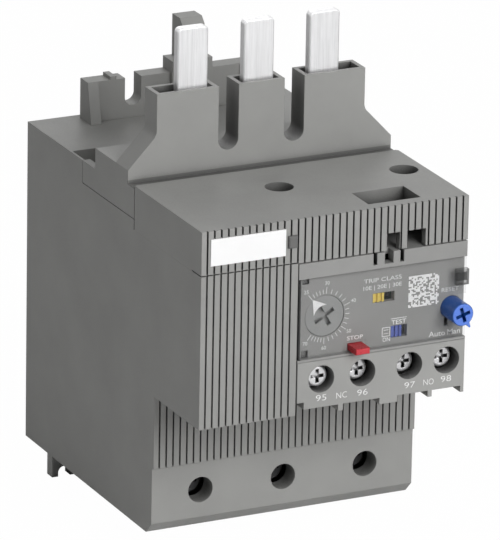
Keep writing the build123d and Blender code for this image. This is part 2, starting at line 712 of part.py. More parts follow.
def make_terminal_shroud():
    """The insulating piece on top, with a socket round each blade and slots between them."""
    socket_rear = SHROUD_FRONT + SOCKET_DEPTH
    with BuildPart() as shroud:
        with BuildSketch(front_plane(SHROUD_FRONT)) as wall:
            with BuildLine():
                Polyline(*shroud_outline(), close=True)
            make_face()
        extrude(wall.sketch, amount=SOCKET_DEPTH, dir=(0, 1, 0))
        shoulders = shroud.edges().filter_by(Axis.Y).filter_by_position(Axis.Z, SLAB_TOP + 1, SOCKET_TOP - 1)
        fillet(shoulders, SLOT_WIDTH / 2)
        wide = (-HALF_WIDTH, HALF_WIDTH)
        block(wide, (COVER_DEPTH, SLAB_REAR), (SEAT_Z, FRONT_TOP - SHROUD_LEDGE))
        block(wide, (SHROUD_FRONT, SLAB_REAR), (FRONT_TOP - SHROUD_LEDGE, SLAB_TOP))
        for side in both_sides((INNER, HALF_WIDTH)):
            block(side, (SLAB_REAR, FLAP_REAR), (SEAT_Z, REAR_TOP))
        for side in both_sides((HALF_WIDTH - FLAP_SEAM_DEPTH, HALF_WIDTH)):
            rear_line = (FLAP_REAR - FLAP_SEAM, FLAP_REAR)
            block(side, rear_line, (SEAT_Z, REAR_TOP), Mode.SUBTRACT)
            block(side, (COVER_DEPTH, FLAP_REAR), (SEAT_Z, SEAT_Z + FLAP_SEAM), Mode.SUBTRACT)
        hollow = (socket_rear + WALL, SLAB_REAR - WALL)
        block((-INNER, INNER), hollow, (SEAT_Z, SLAB_TOP - WALL), Mode.SUBTRACT)

        # U slots between the sockets
        slot_low = SLAB_TOP + SLOT_BOTTOM_RISE + SLOT_WIDTH / 2
        through = (SHROUD_FRONT, socket_rear)
        for x in (-SLOT_X, SLOT_X):
            sides = (x - SLOT_WIDTH / 2, x + SLOT_WIDTH / 2)
            block(sides, through, (slot_low, SOCKET_TOP), Mode.SUBTRACT)
            rod((x, slot_low), SLOT_WIDTH / 2, through, Mode.SUBTRACT)

        # Sockets, with a close slot for each blade through their floors
        inside = (SHROUD_FRONT + SOCKET_WALL, socket_rear - SOCKET_WALL)
        for limits in socket_limits():
            block(limits, inside, (SLAB_TOP + SOCKET_FLOOR, SOCKET_TOP), Mode.SUBTRACT)
        for x in BLADE_XS:
            sides = (x - BLADE_WIDTH / 2 - BAR_GAP, x + BLADE_WIDTH / 2 + BAR_GAP)
            bar_depths = (BLADE_FRONT - BAR_GAP, BLADE_REAR + BAR_GAP)
            block(sides, bar_depths, (SEAT_Z, SOCKET_TOP), Mode.SUBTRACT)
    return shroud


def bar_outline(blade_x, phase_x):
    """One bar seen from the front: blade, jog to its own phase, and a wide foot."""
    half = BLADE_WIDTH / 2
    foot = BAR_END_WIDTH / 2
    top = SOCKET_TOP + BLADE_RISE
    jog_top = SEAT_Z - WALL - BAR_JOG_DROP
    jog_low = jog_top - BAR_JOG_HEIGHT
    step = ACCESS_Z + CLAMP_HEIGHT / 2 - CLAMP_GAP
    return [
        (blade_x - half, top),
        (blade_x + half, top),
        (blade_x + half, jog_top),
        (phase_x + half, jog_low),
        (phase_x + half, step),
        (phase_x + foot, step),
        (phase_x + foot, BAR_BOTTOM),
        (phase_x - foot, BAR_BOTTOM),
        (phase_x - foot, step),
        (phase_x - half, step),
        (phase_x - half, jog_low),
        (blade_x - half, jog_top),
    ]


def make_busbar(blade_x, phase_x):
    """A flat bar from the plug-in blade down to the load terminal."""
    with BuildPart() as bar:
        with BuildSketch(front_plane(BLADE_FRONT)) as outline:
            with BuildLine():
                Polyline(*bar_outline(blade_x, phase_x), close=True)
            make_face()
        extrude(outline.sketch, amount=BLADE_THICKNESS, dir=(0, 1, 0))
        fillet(bar.edges().filter_by(Axis.Y).sort_by(Axis.Z)[-2:], BLADE_CORNER)
        rims = [edge for edge in bar.edges() if edge.center().Z > SEAT_Z]
        thick = BLADE_THICKNESS / 2
        rims = [edge for edge in rims if abs(edge.center().Y - depth(BLADE_FRONT + thick)) > thick / 2]
        chamfer(rims, BLADE_BEVEL)
    return bar


def make_transformer_core(x):
    """A laminated rectangular core round one bar."""
    half = CORE_WIDTH / 2
    with BuildPart() as core:
        with BuildSketch(Plane.XY.offset(CORE_BOTTOM)):
            rectangle(x - half, x + half, depth(CORE_FRONT), depth(CORE_REAR))
            window = (depth(CORE_FRONT + CORE_FRONT_BAR), depth(CORE_REAR - CORE_REAR_BAR))
            rectangle(x - half + CORE_LEG, x + half - CORE_LEG, *window, Mode.SUBTRACT)
        extrude(amount=CORE_HEIGHT)
        fillet(core.edges().filter_by(Axis.Z).sort_by(Axis.Y)[:2], CORE_LEG / 4)
    return core


def make_transformer_winding(x):
    """The coil wound on the rear leg of one core."""
    half = CORE_WIDTH / 2 - CORE_LEG - WINDING_SIDE_GAP
    front = CORE_REAR - CORE_REAR_BAR
    with BuildPart() as winding:
        with BuildSketch(Plane.YZ.offset(x)) as coil:
            low = CORE_BOTTOM - WINDING_WALL
            high = CORE_BOTTOM + CORE_HEIGHT + WINDING_WALL
            rectangle(depth(front - WINDING_WALL), depth(CORE_REAR + WINDING_WALL), low, high)
            fillet(coil.vertices(), WINDING_WALL - THREAD_GAP)
            core_z = (CORE_BOTTOM - THREAD_GAP, CORE_BOTTOM + CORE_HEIGHT + THREAD_GAP)
            rectangle(depth(front - THREAD_GAP), depth(CORE_REAR + THREAD_GAP), *core_z, Mode.SUBTRACT)
        extrude(amount=half, both=True)
    return winding


def make_load_clamp(x):
    """The cage that the screw pulls forward, so that its rear wall grips the conductor."""
    half = CLAMP_WIDTH / 2
    with BuildPart() as clamp:
        with BuildSketch(Plane.XY.offset(CLAMP_BOTTOM)) as ring:
            rectangle(x - half, x + half, depth(CLAMP_FRONT), depth(CLAMP_REAR))
            fillet(ring.vertices(), CLAMP_WALL)
            inner = (depth(CLAMP_FRONT + CLAMP_FRONT_WALL), depth(CLAMP_REAR - CLAMP_REAR_WALL))
            rectangle(x - half + CLAMP_WALL, x + half - CLAMP_WALL, *inner, Mode.SUBTRACT)
        extrude(amount=CLAMP_HEIGHT)
        threaded = (CLAMP_FRONT, CLAMP_FRONT + CLAMP_FRONT_WALL)
        rod((x, ACCESS_Z), SCREW_RADIUS + THREAD_GAP, threaded, Mode.SUBTRACT)
    return clamp


def make_load_screw(x):
    """The clamping screw, reached through its tunnel from the front."""
    head = TUNNEL_END + SCREW_HEAD_SETBACK
    neck = head + SCREW_HEAD_LENGTH
    with BuildPart() as screw:
        rod((x, ACCESS_Z), SCREW_HEAD_RADIUS, (head, neck))
        rod((x, ACCESS_Z), SCREW_RADIUS, (neck, BLADE_FRONT - THREAD_GAP))
        cross_slot((x, ACCESS_Z), head, 2 * SCREW_RADIUS - 1, SCREW_SLOT, SCREW_SLOT_DEPTH)
    return screw


def make_contactor_bracket():
    """The upright plate at the rear top, with its end gussets, U notch and nub."""
    half = BRACKET_WIDTH / 2
    top = REAR_TOP + BRACKET_HEIGHT
    with BuildPart() as bracket:
        block((-half, half), (BRACKET_FRONT, BRACKET_REAR), (REAR_TOP, top))
        for side in both_sides((half - GUSSET_WIDTH, half)):
            with BuildSketch(Plane.YZ.offset(side[0])) as gusset:
                with BuildLine():
                    foot = depth(BRACKET_FRONT - GUSSET_FOOT)
                    face = depth(BRACKET_FRONT)
                    Polyline((face, REAR_TOP), (foot, REAR_TOP), (face, top), close=True)
                make_face()
            extrude(gusset.sketch, amount=GUSSET_WIDTH, dir=(1, 0, 0))
        through = (BRACKET_FRONT, BRACKET_REAR)
        nub_x = (NUB_X - NUB_WIDTH / 2, NUB_X + NUB_WIDTH / 2)
        block(nub_x, through, (top, top + NUB_HEIGHT))
        notch = BRACKET_NOTCH_WIDTH / 2
        notch_low = top - BRACKET_NOTCH_DEPTH + notch
        block((BRACKET_NOTCH_X - notch, BRACKET_NOTCH_X + notch), through, (notch_low, top), Mode.SUBTRACT)
        rod((BRACKET_NOTCH_X, notch_low), notch, through, Mode.SUBTRACT)
    return bracket


def hook_outline():
    """The hook seen from its side: a stem on the bracket and a nose that reaches forward."""
    top = REAR_TOP + HOOK_HEIGHT
    nose = BRACKET_REAR - HOOK_NOSE
    stem = BRACKET_REAR - HOOK_STEM
    return [
        (depth(BRACKET_REAR), REAR_TOP + BRACKET_HEIGHT),
        (depth(BRACKET_REAR), top),
        (depth(nose + HOOK_NOSE_RADIUS), top),
        (depth(nose), top - HOOK_NOSE_RADIUS),
        (depth(nose), top - HOOK_NOSE_HEIGHT),
        (depth(stem), top - HOOK_NOSE_HEIGHT),
        (depth(stem), REAR_TOP + BRACKET_HEIGHT),
    ]


def make_contactor_hook():
    """The hook that catches the contactor, with the block that carries it."""
    block_x = (HOOK_BLOCK_X - HOOK_BLOCK_WIDTH / 2, HOOK_BLOCK_X + HOOK_BLOCK_WIDTH / 2)
    bracket_top = REAR_TOP + BRACKET_HEIGHT
    block_top = REAR_TOP + HOOK_BLOCK_HEIGHT
    block_front = (BRACKET_FRONT - HOOK_BLOCK_DEPTH, BRACKET_FRONT)
    with BuildPart() as hook:
        block(block_x, block_front, (REAR_TOP, block_top))
        block(block_x, (BRACKET_FRONT, BRACKET_REAR), (bracket_top, block_top))
        with BuildSketch(Plane.YZ.offset(HOOK_BLOCK_X)) as stem:
            with BuildLine():
                Polyline(*hook_outline(), close=True)
            make_face()
        extrude(stem.sketch, amount=HOOK_WIDTH / 2, both=True)
    return hook


def class_window():
    """The trip class window's X and Z limits."""
    half = CLASS_HEIGHT / 2
    return (CLASS_WINDOW_LEFT, CLASS_WINDOW_LEFT + CLASS_WINDOW), (CLASS_Z - half, CLASS_Z + half)


def test_window():
    """The test window's X and Z limits."""
    half = TEST_HEIGHT / 2
    return (TEST_WINDOW_LEFT, TEST_WINDOW_LEFT + TEST_WINDOW), (TEST_Z - half, TEST_Z + half)


def make_control_housing():
    """The control module's shell: header strip, recessed face and side walls, open behind."""
    left = MODULE_LEFT + MODULE_GAP
    lip = FACE_BOTTOM - LIP_HEIGHT
    with BuildPart() as shell:
        block((left, HALF_WIDTH), (0, MODULE_DEPTH), (lip, MODULE_TOP))
        block((left, HALF_WIDTH), (0, FACE_DEPTH), (FACE_BOTTOM, FACE_TOP), Mode.SUBTRACT)
        inner_x = (left + MODULE_WALL, HALF_WIDTH - MODULE_WALL)
        block(inner_x, (FACE_BACK, MODULE_DEPTH), (lip, MODULE_TOP - MODULE_WALL), Mode.SUBTRACT)
        rod(RESET_CENTRE, RESET_COLLAR + FLANGE_GAP, (FACE_BACK, BOARD_DEPTH), Mode.SUBTRACT)

        # Notches in the header that leave two tongues
        for notch_left, width in HEADER_NOTCHES:
            sides = (MODULE_LEFT + notch_left, MODULE_LEFT + notch_left + width)
            block(sides, (0, FACE_BACK), (MODULE_TOP - NOTCH_DEPTH, MODULE_TOP), Mode.SUBTRACT)

        # Holes and windows in the face
        through = (FACE_DEPTH, FACE_BACK)
        rod(DIAL_CENTRE, DIAL_RADIUS + RUN_GAP, through, Mode.SUBTRACT)
        rod(RESET_CENTRE, RESET_RADIUS + RUN_GAP, through, Mode.SUBTRACT)
        for window in (class_window(), test_window()):
            block(window[0], through, window[1], Mode.SUBTRACT)
        stop_x, stop_z = stop_limits(SLIDE_GAP)
        block(stop_x, through, stop_z, Mode.SUBTRACT)
        key_x = (RESET_CENTRE[0] + KEY_X - KEY_SIZE[0] / 2, RESET_CENTRE[0] + KEY_X + KEY_SIZE[0] / 2)
        key_z = (RESET_CENTRE[1] - KEY_DROP - KEY_SIZE[1] / 2, RESET_CENTRE[1] - KEY_DROP + KEY_SIZE[1] / 2)
        block(key_x, through, key_z, Mode.SUBTRACT)

        # Square recesses at the hinge corners, and the hinge pin holes
        for low in (FACE_BOTTOM, FACE_TOP - HINGE_RECESS):
            sides = (HINGE_X + HINGE_INSET, HINGE_X + HINGE_INSET + HINGE_RECESS)
            sunk = (FACE_DEPTH, FACE_DEPTH + MODULE_WALL / 2)
            block(sides, sunk, (low, low + HINGE_RECESS), Mode.SUBTRACT)
        for low, reach in ((FACE_TOP, 1), (FACE_BOTTOM, -1)):
            with BuildSketch(Plane.XY.offset(low)) as pin_hole:
                with Locations((HINGE_X, depth(HINGE_DEPTH))):
                    Circle(HINGE_PIN_RADIUS + THREAD_GAP)
            sink = HINGE_PIN_LENGTH + THREAD_GAP
            extrude(pin_hole.sketch, amount=sink, dir=(0, 0, reach), mode=Mode.SUBTRACT)

        # Seat that the stop button's spring pushes against
        seat_x = (STOP_CENTRE[0] - STOP_WIDTH / 2, STOP_CENTRE[0] + STOP_WIDTH / 2)
        seat = (SPRING_SEAT, SPRING_SEAT + SEAT_THICKNESS)
        seat_top = STOP_CENTRE[1] + SEAT_TOP
        block(seat_x, seat, (STOP_CENTRE[1] - STOP_HEIGHT, seat_top))
        rib_x = (seat_x[0], seat_x[0] + SEAT_THICKNESS)
        block(rib_x, (FACE_BACK, SPRING_SEAT), (STOP_CENTRE[1] + SEAT_RIB_LIFT, seat_top))
        rod(STOP_CENTRE, STOP_STEM_RADIUS + THREAD_GAP, seat, Mode.SUBTRACT)
    return shell


def stop_limits(gap=0.0):
    """The stop button's X and Z limits, widened by a gap."""
    half_x = STOP_WIDTH / 2 + gap
    half_z = STOP_HEIGHT / 2 + gap
    x, z = STOP_CENTRE
    return (x - half_x, x + half_x), (z - half_z, z + half_z)


def make_clear_cover():
    """The clear hinged cover, cut away round the button and the knob, with its sealing eyelet."""
    low = FACE_BOTTOM + CLEAR_GAP
    high = FACE_TOP - CLEAR_GAP
    right = HALF_WIDTH - CLEAR_GAP
    with BuildPart() as cover:
        block((HINGE_X, right), (0, CLEAR_THICKNESS), (low, high))
        with BuildSketch(Plane.XY.offset(low)) as barrel:
            with Locations((HINGE_X, depth(HINGE_DEPTH))):
                Circle(HINGE_DEPTH)
        extrude(barrel.sketch, amount=high - low, dir=(0, 0, 1))
        for start, reach in ((low, -1), (high, 1)):
            with BuildSketch(Plane.XY.offset(start)) as pin:
                with Locations((HINGE_X, depth(HINGE_DEPTH))):
                    Circle(HINGE_PIN_RADIUS)
            extrude(pin.sketch, amount=HINGE_PIN_LENGTH, dir=(0, 0, reach))
        stop_x, stop_z = stop_limits(STOP_NOTCH)
        block(stop_x, (0, CLEAR_THICKNESS), (low, stop_z[1]), Mode.SUBTRACT)
        reach = RESET_RADIUS + KNOB_NOTCH
        x, z = RESET_CENTRE
        rod(RESET_CENTRE, reach, (0, CLEAR_THICKNESS), Mode.SUBTRACT)
        block((x, right), (0, CLEAR_THICKNESS), (z - reach, z + reach), Mode.SUBTRACT)

        # Sealing eyelet at the right edge
        eyelet_z = high - EYELET_DROP
        eyelet_x = (right - EYELET_WIDTH + EYELET_PROUD / 2, right)
        sides = (eyelet_z - EYELET_HEIGHT, eyelet_z)
        block(eyelet_x, (-EYELET_PROUD, 0), sides)
        hole = (sides[0] + EYELET_WALL, sides[1] - EYELET_WALL)
        with BuildSketch(Plane.YZ.offset(eyelet_x[0])) as eye:
            middle = depth(-EYELET_PROUD / 2)
            with Locations((middle, (hole[0] + hole[1]) / 2)):
                SlotOverall(hole[1] - hole[0], EYELET_PROUD / 2, rotation=90)
        extrude(eye.sketch, amount=EYELET_WIDTH, dir=(1, 0, 0), mode=Mode.SUBTRACT)
    return cover


def make_aux_terminal_block():
    """The block of four auxiliary terminals, with screw recesses and conductor entries."""
    left = MODULE_LEFT + MODULE_GAP
    half = AUX_POCKET / 2
    with BuildPart() as terminals:
        block((left, HALF_WIDTH), (0, MODULE_DEPTH), (AUX_BOTTOM, AUX_TOP))
        notch = (AUX_BOTTOM, AUX_BOTTOM + AUX_CORNER_RISE)
        block((left, left + AUX_CORNER_NOTCH), (0, AUX_FIN_LENGTH), notch, Mode.SUBTRACT)
        for x in AUX_XS:
            rod((x, AUX_SCREW_Z), AUX_ACCESS_RADIUS, (0, AUX_BORE_DEPTH), Mode.SUBTRACT)
            pocket_z = (AUX_SCREW_Z - half, AUX_SCREW_Z + half)
            block((x - half, x + half), (AUX_BORE_DEPTH, AUX_POCKET_REAR), pocket_z, Mode.SUBTRACT)
            arm = STRIP_ARM / 2 + MODULE_GAP
            arm_z = (STRIP_TOP - STRIP_THICKNESS - MODULE_GAP, STRIP_TOP + MODULE_GAP)
            block((x - arm, x + arm), (AUX_POCKET_REAR, MODULE_DEPTH), arm_z, Mode.SUBTRACT)
            entry = (x - AUX_ENTRY_WIDTH / 2, x + AUX_ENTRY_WIDTH / 2)
            block(entry, (AUX_BORE_DEPTH, STRIP_FRONT), (AUX_BOTTOM, pocket_z[0]), Mode.SUBTRACT)

        # Fins under the front lower edge, between the conductor entries
        for fin_left, width in AUX_FINS:
            fin_x = (MODULE_LEFT + fin_left, MODULE_LEFT + fin_left + width)
            block(fin_x, (0, AUX_FIN_LENGTH), (AUX_BOTTOM - AUX_FIN_DROP, AUX_BOTTOM))
    return terminals


def make_contact_strips():
    """Four bent strips, each from its screw terminal back to its fixed contact."""
    half = STRIP_WIDTH / 2
    with BuildPart() as strips:
        for index, x in enumerate(AUX_XS):
            plate = (STRIP_FRONT, STRIP_FRONT + STRIP_THICKNESS)
            block((x - half, x + half), plate, (STRIP_TOP - STRIP_HEIGHT, STRIP_TOP))
            rod((x, AUX_SCREW_Z), AUX_SHANK_RADIUS + THREAD_GAP, plate, Mode.SUBTRACT)
            arm = (x - STRIP_ARM / 2, x + STRIP_ARM / 2)
            rear = CONTACT_DEPTH + CONTACT_THICKNESS
            block(arm, (plate[1], rear), (STRIP_TOP - STRIP_THICKNESS, STRIP_TOP))
            block(arm, (CONTACT_DEPTH, rear), (BRIDGE_Z - BRIDGE_HEIGHT / 2, STRIP_TOP))
            if index < 2:
                rod((x, BRIDGE_Z), CONTACT_RADIUS, (rear, rear + CONTACT_HEIGHT))
            else:
                rod((x, BRIDGE_Z), CONTACT_RADIUS, (CONTACT_DEPTH - CONTACT_HEIGHT, CONTACT_DEPTH))
    return strips


def make_bridge(xs, front, button_side):
    """A moving contact: a flat bar with a button at each end, on its front or its rear."""
    rear = front + BRIDGE_THICKNESS
    buttons = (front - CONTACT_HEIGHT, front) if button_side == "front" else (rear, rear + CONTACT_HEIGHT)
    z_limits = (BRIDGE_Z - BRIDGE_HEIGHT / 2, BRIDGE_Z + BRIDGE_HEIGHT / 2)
    with BuildPart() as bridge:
        block((xs[0] - BRIDGE_OVERHANG, xs[1] + BRIDGE_OVERHANG), (front, rear), z_limits)
        fillet(bridge.edges().filter_by(Axis.Y), BRIDGE_OVERHANG / 2)
        for x in xs:
            rod((x, BRIDGE_Z), CONTACT_RADIUS, buttons)
    return bridge


def make_contact_carrier():
    """The sliding carrier: a plate with a slotted post for each bridge and an arm to the magnet."""
    no_front = NO_BRIDGE_FRONT - THREAD_GAP - POST_WALL
    no_rear = NO_BRIDGE_REAR + THREAD_GAP + POST_WALL
    nc_front = NC_BRIDGE_FRONT - THREAD_GAP - POST_WALL
    plate_z = (CARRIER_BOTTOM, CARRIER_TOP)
    slot_z = (BRIDGE_Z - BRIDGE_HEIGHT / 2 - THREAD_GAP, BRIDGE_Z + BRIDGE_HEIGHT / 2 + THREAD_GAP)
    post_top = slot_z[1] + POST_WALL
    half = POST_WIDTH / 2
    arm_front = POST_REAR - CARRIER_ARM
    with BuildPart() as carrier:
        block((NC_MIDDLE - POST_WIDTH, NO_MIDDLE + POST_WIDTH), (no_front, POST_REAR), plate_z)
        block((NO_MIDDLE - half, NO_MIDDLE + half), (no_front, no_rear), (CARRIER_TOP, post_top))
        block((NC_MIDDLE - half, NC_MIDDLE + half), (nc_front, POST_REAR), (CARRIER_TOP, post_top))
        no_slot = (NO_BRIDGE_FRONT - THREAD_GAP, NO_BRIDGE_REAR + THREAD_GAP)
        block((NO_MIDDLE - half, NO_MIDDLE + half), no_slot, slot_z, Mode.SUBTRACT)
        nc_slot = (NC_BRIDGE_FRONT - THREAD_GAP, POST_REAR - POST_WALL)
        block((NC_MIDDLE - half, NC_MIDDLE + half), nc_slot, slot_z, Mode.SUBTRACT)
        block((MAGNET_X - CARRIER_ARM, NC_MIDDLE), (arm_front, POST_REAR), plate_z)
        upright = (MAGNET_X - CARRIER_ARM, MAGNET_X + CARRIER_ARM)
        block(upright, (arm_front, POST_REAR), (CARRIER_TOP, MAGNET_Z))
        rod((MAGNET_X, MAGNET_Z), CARRIER_ARM, (arm_front, POST_REAR))
        rod((MAGNET_X, MAGNET_Z), PLUNGER_NECK + THREAD_GAP, (arm_front, POST_REAR), Mode.SUBTRACT)
    return carrier


def make_trip_yoke():
    """The magnet's bent iron frame, standing on the front chamber's floor."""
    half = MAGNET_WIDTH / 2
    with BuildPart() as yoke:
        sides = (MAGNET_X - half, MAGNET_X + half)
        block(sides, (MAGNET_FRONT, MAGNET_REAR), (FLOOR_Z, FLOOR_Z + YOKE_HEIGHT))
        inside = (MAGNET_FRONT + YOKE_THICKNESS, MAGNET_REAR - YOKE_THICKNESS)
        block(sides, inside, (FLOOR_Z + YOKE_THICKNESS, FLOOR_Z + YOKE_HEIGHT), Mode.SUBTRACT)
        rear_plate = (inside[1], MAGNET_REAR)
        rod((MAGNET_X, MAGNET_Z), PLUNGER_RADIUS + RUN_GAP, rear_plate, Mode.SUBTRACT)
    return yoke


def make_trip_coil():
    """The magnet's coil on its bobbin."""
    inside = (MAGNET_FRONT + YOKE_THICKNESS, MAGNET_REAR - YOKE_THICKNESS)
    with BuildPart() as coil:
        rod((MAGNET_X, MAGNET_Z), COIL_RADIUS - BOBBIN_LIP, inside)
        for front in (inside[0], inside[1] - BOBBIN_LIP):
            rod((MAGNET_X, MAGNET_Z), COIL_RADIUS, (front, front + BOBBIN_LIP))
        rod((MAGNET_X, MAGNET_Z), PLUNGER_RADIUS + RUN_GAP, inside, Mode.SUBTRACT)
    return coil


def make_trip_plunger():
    """The magnet's plunger, with a neck that carries the contact carrier."""
    shoulder = MAGNET_REAR + CARRIER_LIFT
    with BuildPart() as plunger:
        rod((MAGNET_X, MAGNET_Z), PLUNGER_RADIUS, (MAGNET_FRONT + PLUNGER_INSIDE, shoulder))
        rod((MAGNET_X, MAGNET_Z), PLUNGER_NECK, (shoulder, POST_REAR))
    return plunger


def make_aux_screw(x, head):
    """A pan-head screw with a cross slot."""
    centre = (x, AUX_SCREW_Z)
    neck = head + AUX_HEAD_LENGTH
    with BuildPart() as screw:
        rod(centre, AUX_HEAD_RADIUS, (head, neck))
        fillet(screw.faces().sort_by(Axis.Y)[0].edges(), AUX_HEAD_LENGTH / 3)
        rod(centre, AUX_SHANK_RADIUS, (neck, neck + AUX_SHANK_LENGTH))
        cross_slot(centre, head, 2 * AUX_SHANK_RADIUS, SCREW_SLOT, SCREW_SLOT_DEPTH)
    return screw


def make_aux_clamp(x, head):
    """The captive square plate under one screw's head."""
    half = AUX_PLATE / 2
    front = head + AUX_HEAD_LENGTH + THREAD_GAP
    depths = (front, front + AUX_PLATE_THICKNESS)
    with BuildPart() as plate:
        block((x - half, x + half), depths, (AUX_SCREW_Z - half, AUX_SCREW_Z + half))
        rod((x, AUX_SCREW_Z), AUX_SHANK_RADIUS + THREAD_GAP, depths, Mode.SUBTRACT)
    return plate


def make_current_dial():
    """The setting dial: a slotted disc, a flange behind the face and a shaft to the potentiometer."""
    flange = FACE_BACK + FLANGE_GAP
    front = FACE_DEPTH + FLANGE_GAP
    with BuildPart() as dial:
        rod(DIAL_CENTRE, DIAL_RADIUS, (front, flange))
        chamfer(dial.faces().sort_by(Axis.Y)[0].edges(), FLANGE_GAP)
        rod(DIAL_CENTRE, DIAL_RADIUS + DIAL_FLANGE, (flange, flange + FLANGE))
        rod(DIAL_CENTRE, DIAL_SHAFT_RADIUS, (flange + FLANGE, BOARD_DEPTH - FLANGE))
        cross_slot(DIAL_CENTRE, front, DIAL_SLOT_LENGTH, DIAL_SLOT, FLANGE, DIAL_SLOT_ANGLE)
    return dial


def make_setting_potentiometer():
    """The potentiometer that the dial's shaft turns, seated on the board."""
    half = POT_WIDTH / 2
    x, z = DIAL_CENTRE
    depths = (BOARD_DEPTH - POT_LENGTH, BOARD_DEPTH)
    with BuildPart() as pot:
        block((x - half, x + half), depths, (z - half, z + half))
        chamfer(pot.edges().filter_by(Axis.Y), half / 4)
        hole = (depths[0], BOARD_DEPTH - FLANGE / 2)
        rod(DIAL_CENTRE, DIAL_SHAFT_RADIUS + THREAD_GAP, hole, Mode.SUBTRACT)
    return pot


def slide_width(window, travel):
    """The width of a slide's knob in its window."""
    return window - travel - 2 * SLIDE_GAP


def slide_stem(window, travel):
    """The X limits of a slide's stem at rest."""
    middle = window[0][0] + SLIDE_GAP + slide_width(window[0][1] - window[0][0], travel) / 2
    return middle - SLIDE_LIP, middle + SLIDE_LIP


def make_slider(window, travel):
    """A slide: a ridged knob in its window, a lip behind the face and a stem to its switch."""
    (left, right), (low, high) = window
    left_edge = left + SLIDE_GAP
    right_edge = left_edge + slide_width(right - left, travel)
    knob_z = (low + SLIDE_GAP, high - SLIDE_GAP)
    lip = FACE_BACK + FLANGE_GAP
    middle = (low + high) / 2
    with BuildPart() as slider:
        block((left_edge, right_edge), (FACE_DEPTH + FLANGE_GAP, lip), knob_z)
        ridge = (right_edge - left_edge) / 5
        for groove in (1, 3):
            sides = (left_edge + groove * ridge, left_edge + (groove + 1) * ridge)
            sink = (FACE_DEPTH + FLANGE_GAP, FACE_DEPTH + FLANGE_GAP + RIDGE_DEPTH)
            block(sides, sink, knob_z, Mode.SUBTRACT)
        lip_z = (knob_z[0] - SLIDE_LIP, knob_z[1] + SLIDE_LIP)
        block((left_edge - SLIDE_LIP, right_edge + SLIDE_LIP), (lip, lip + SLIDE_LIP), lip_z)
        stem = (lip + SLIDE_LIP, BOARD_DEPTH - SWITCH_LENGTH / 2)
        block(slide_stem(window, travel), stem, (middle - SLIDE_LIP, middle + SLIDE_LIP))
    return slider


def make_slide_switches():
    """The two slide switches on the board, each with a slot for its slide's stem."""
    depths = (BOARD_DEPTH - SWITCH_LENGTH, BOARD_DEPTH)
    with BuildPart() as switches:
        for window, travel in ((class_window(), CLASS_TRAVEL), (test_window(), TEST_TRAVEL)):
            stem = slide_stem(window, travel)
            slot = (stem[0] - SLIDE_GAP, stem[1] + travel + SLIDE_GAP)
            middle = (slot[0] + slot[1]) / 2
            z = (window[1][0] + window[1][1]) / 2
            body = (middle - SWITCH_WIDTH / 2, middle + SWITCH_WIDTH / 2)
            block(body, depths, (z - SWITCH_HEIGHT / 2, z + SWITCH_HEIGHT / 2))
            slot_z = (z - SLIDE_LIP - SLIDE_GAP, z + SLIDE_LIP + SLIDE_GAP)
            slot_depths = (depths[0], BOARD_DEPTH - SWITCH_LENGTH / 2 + SLIDE_GAP)
            block(slot, slot_depths, slot_z, Mode.SUBTRACT)
    return switches


def make_control_board():
    """The circuit board behind the control face, with a hole for the reset rod."""
    gap = MODULE_WALL + MODULE_GAP
    sides = (MODULE_LEFT + MODULE_GAP + gap, HALF_WIDTH - gap)
    depths = (BOARD_DEPTH, BOARD_DEPTH + BOARD_THICKNESS)
    with BuildPart() as board:
        block(sides, depths, (BOARD_BOTTOM, BOARD_TOP))
        rod(RESET_CENTRE, RESET_ROD_RADIUS + FLANGE_GAP, depths, Mode.SUBTRACT)
    return board


def make_board_chips():
    """The chips on the rear of the board, one solid each."""
    rear = BOARD_DEPTH + BOARD_THICKNESS
    middle = (BOARD_BOTTOM + BOARD_TOP) / 2
    with BuildPart() as chips:
        for x, (width, height, thickness) in zip(CHIP_X, CHIP_SIZES):
            sides = (MODULE_LEFT + x - width / 2, MODULE_LEFT + x + width / 2)
            block(sides, (rear, rear + thickness), (middle - height / 2, middle + height / 2))
    return chips


def make_stop_button():
    """The red button: cap, flange behind the face, stem, and a finger that lifts the closed contact."""
    stop_x, stop_z = stop_limits()
    flange = FACE_BACK + FLANGE_GAP
    rear = NC_BRIDGE_FRONT - FINGER_GAP
    finger_x = (NC_MIDDLE + POST_WIDTH / 2 + FINGER_GAP, AUX_XS[1] - STRIP_ARM / 2 - FINGER_GAP)
    with BuildPart() as button:
        block(stop_x, (-STOP_PROUD, flange), stop_z)
        front = button.faces().sort_by(Axis.Y)[0]
        chamfer(front.edges(), STOP_HEIGHT / 8)
        wide = (stop_x[0] - SLIDE_LIP, stop_x[1] + SLIDE_LIP)
        block(wide, (flange, flange + FLANGE), (stop_z[0] - SLIDE_LIP, stop_z[1] + SLIDE_LIP))
        rod(STOP_CENTRE, STOP_STEM_RADIUS, (flange + FLANGE, rear))
        finger_z = (BRIDGE_Z - BRIDGE_HEIGHT / 4, STOP_CENTRE[1] + STOP_STEM_RADIUS)
        block(finger_x, (rear - FINGER_THICKNESS, rear), finger_z)
    return button


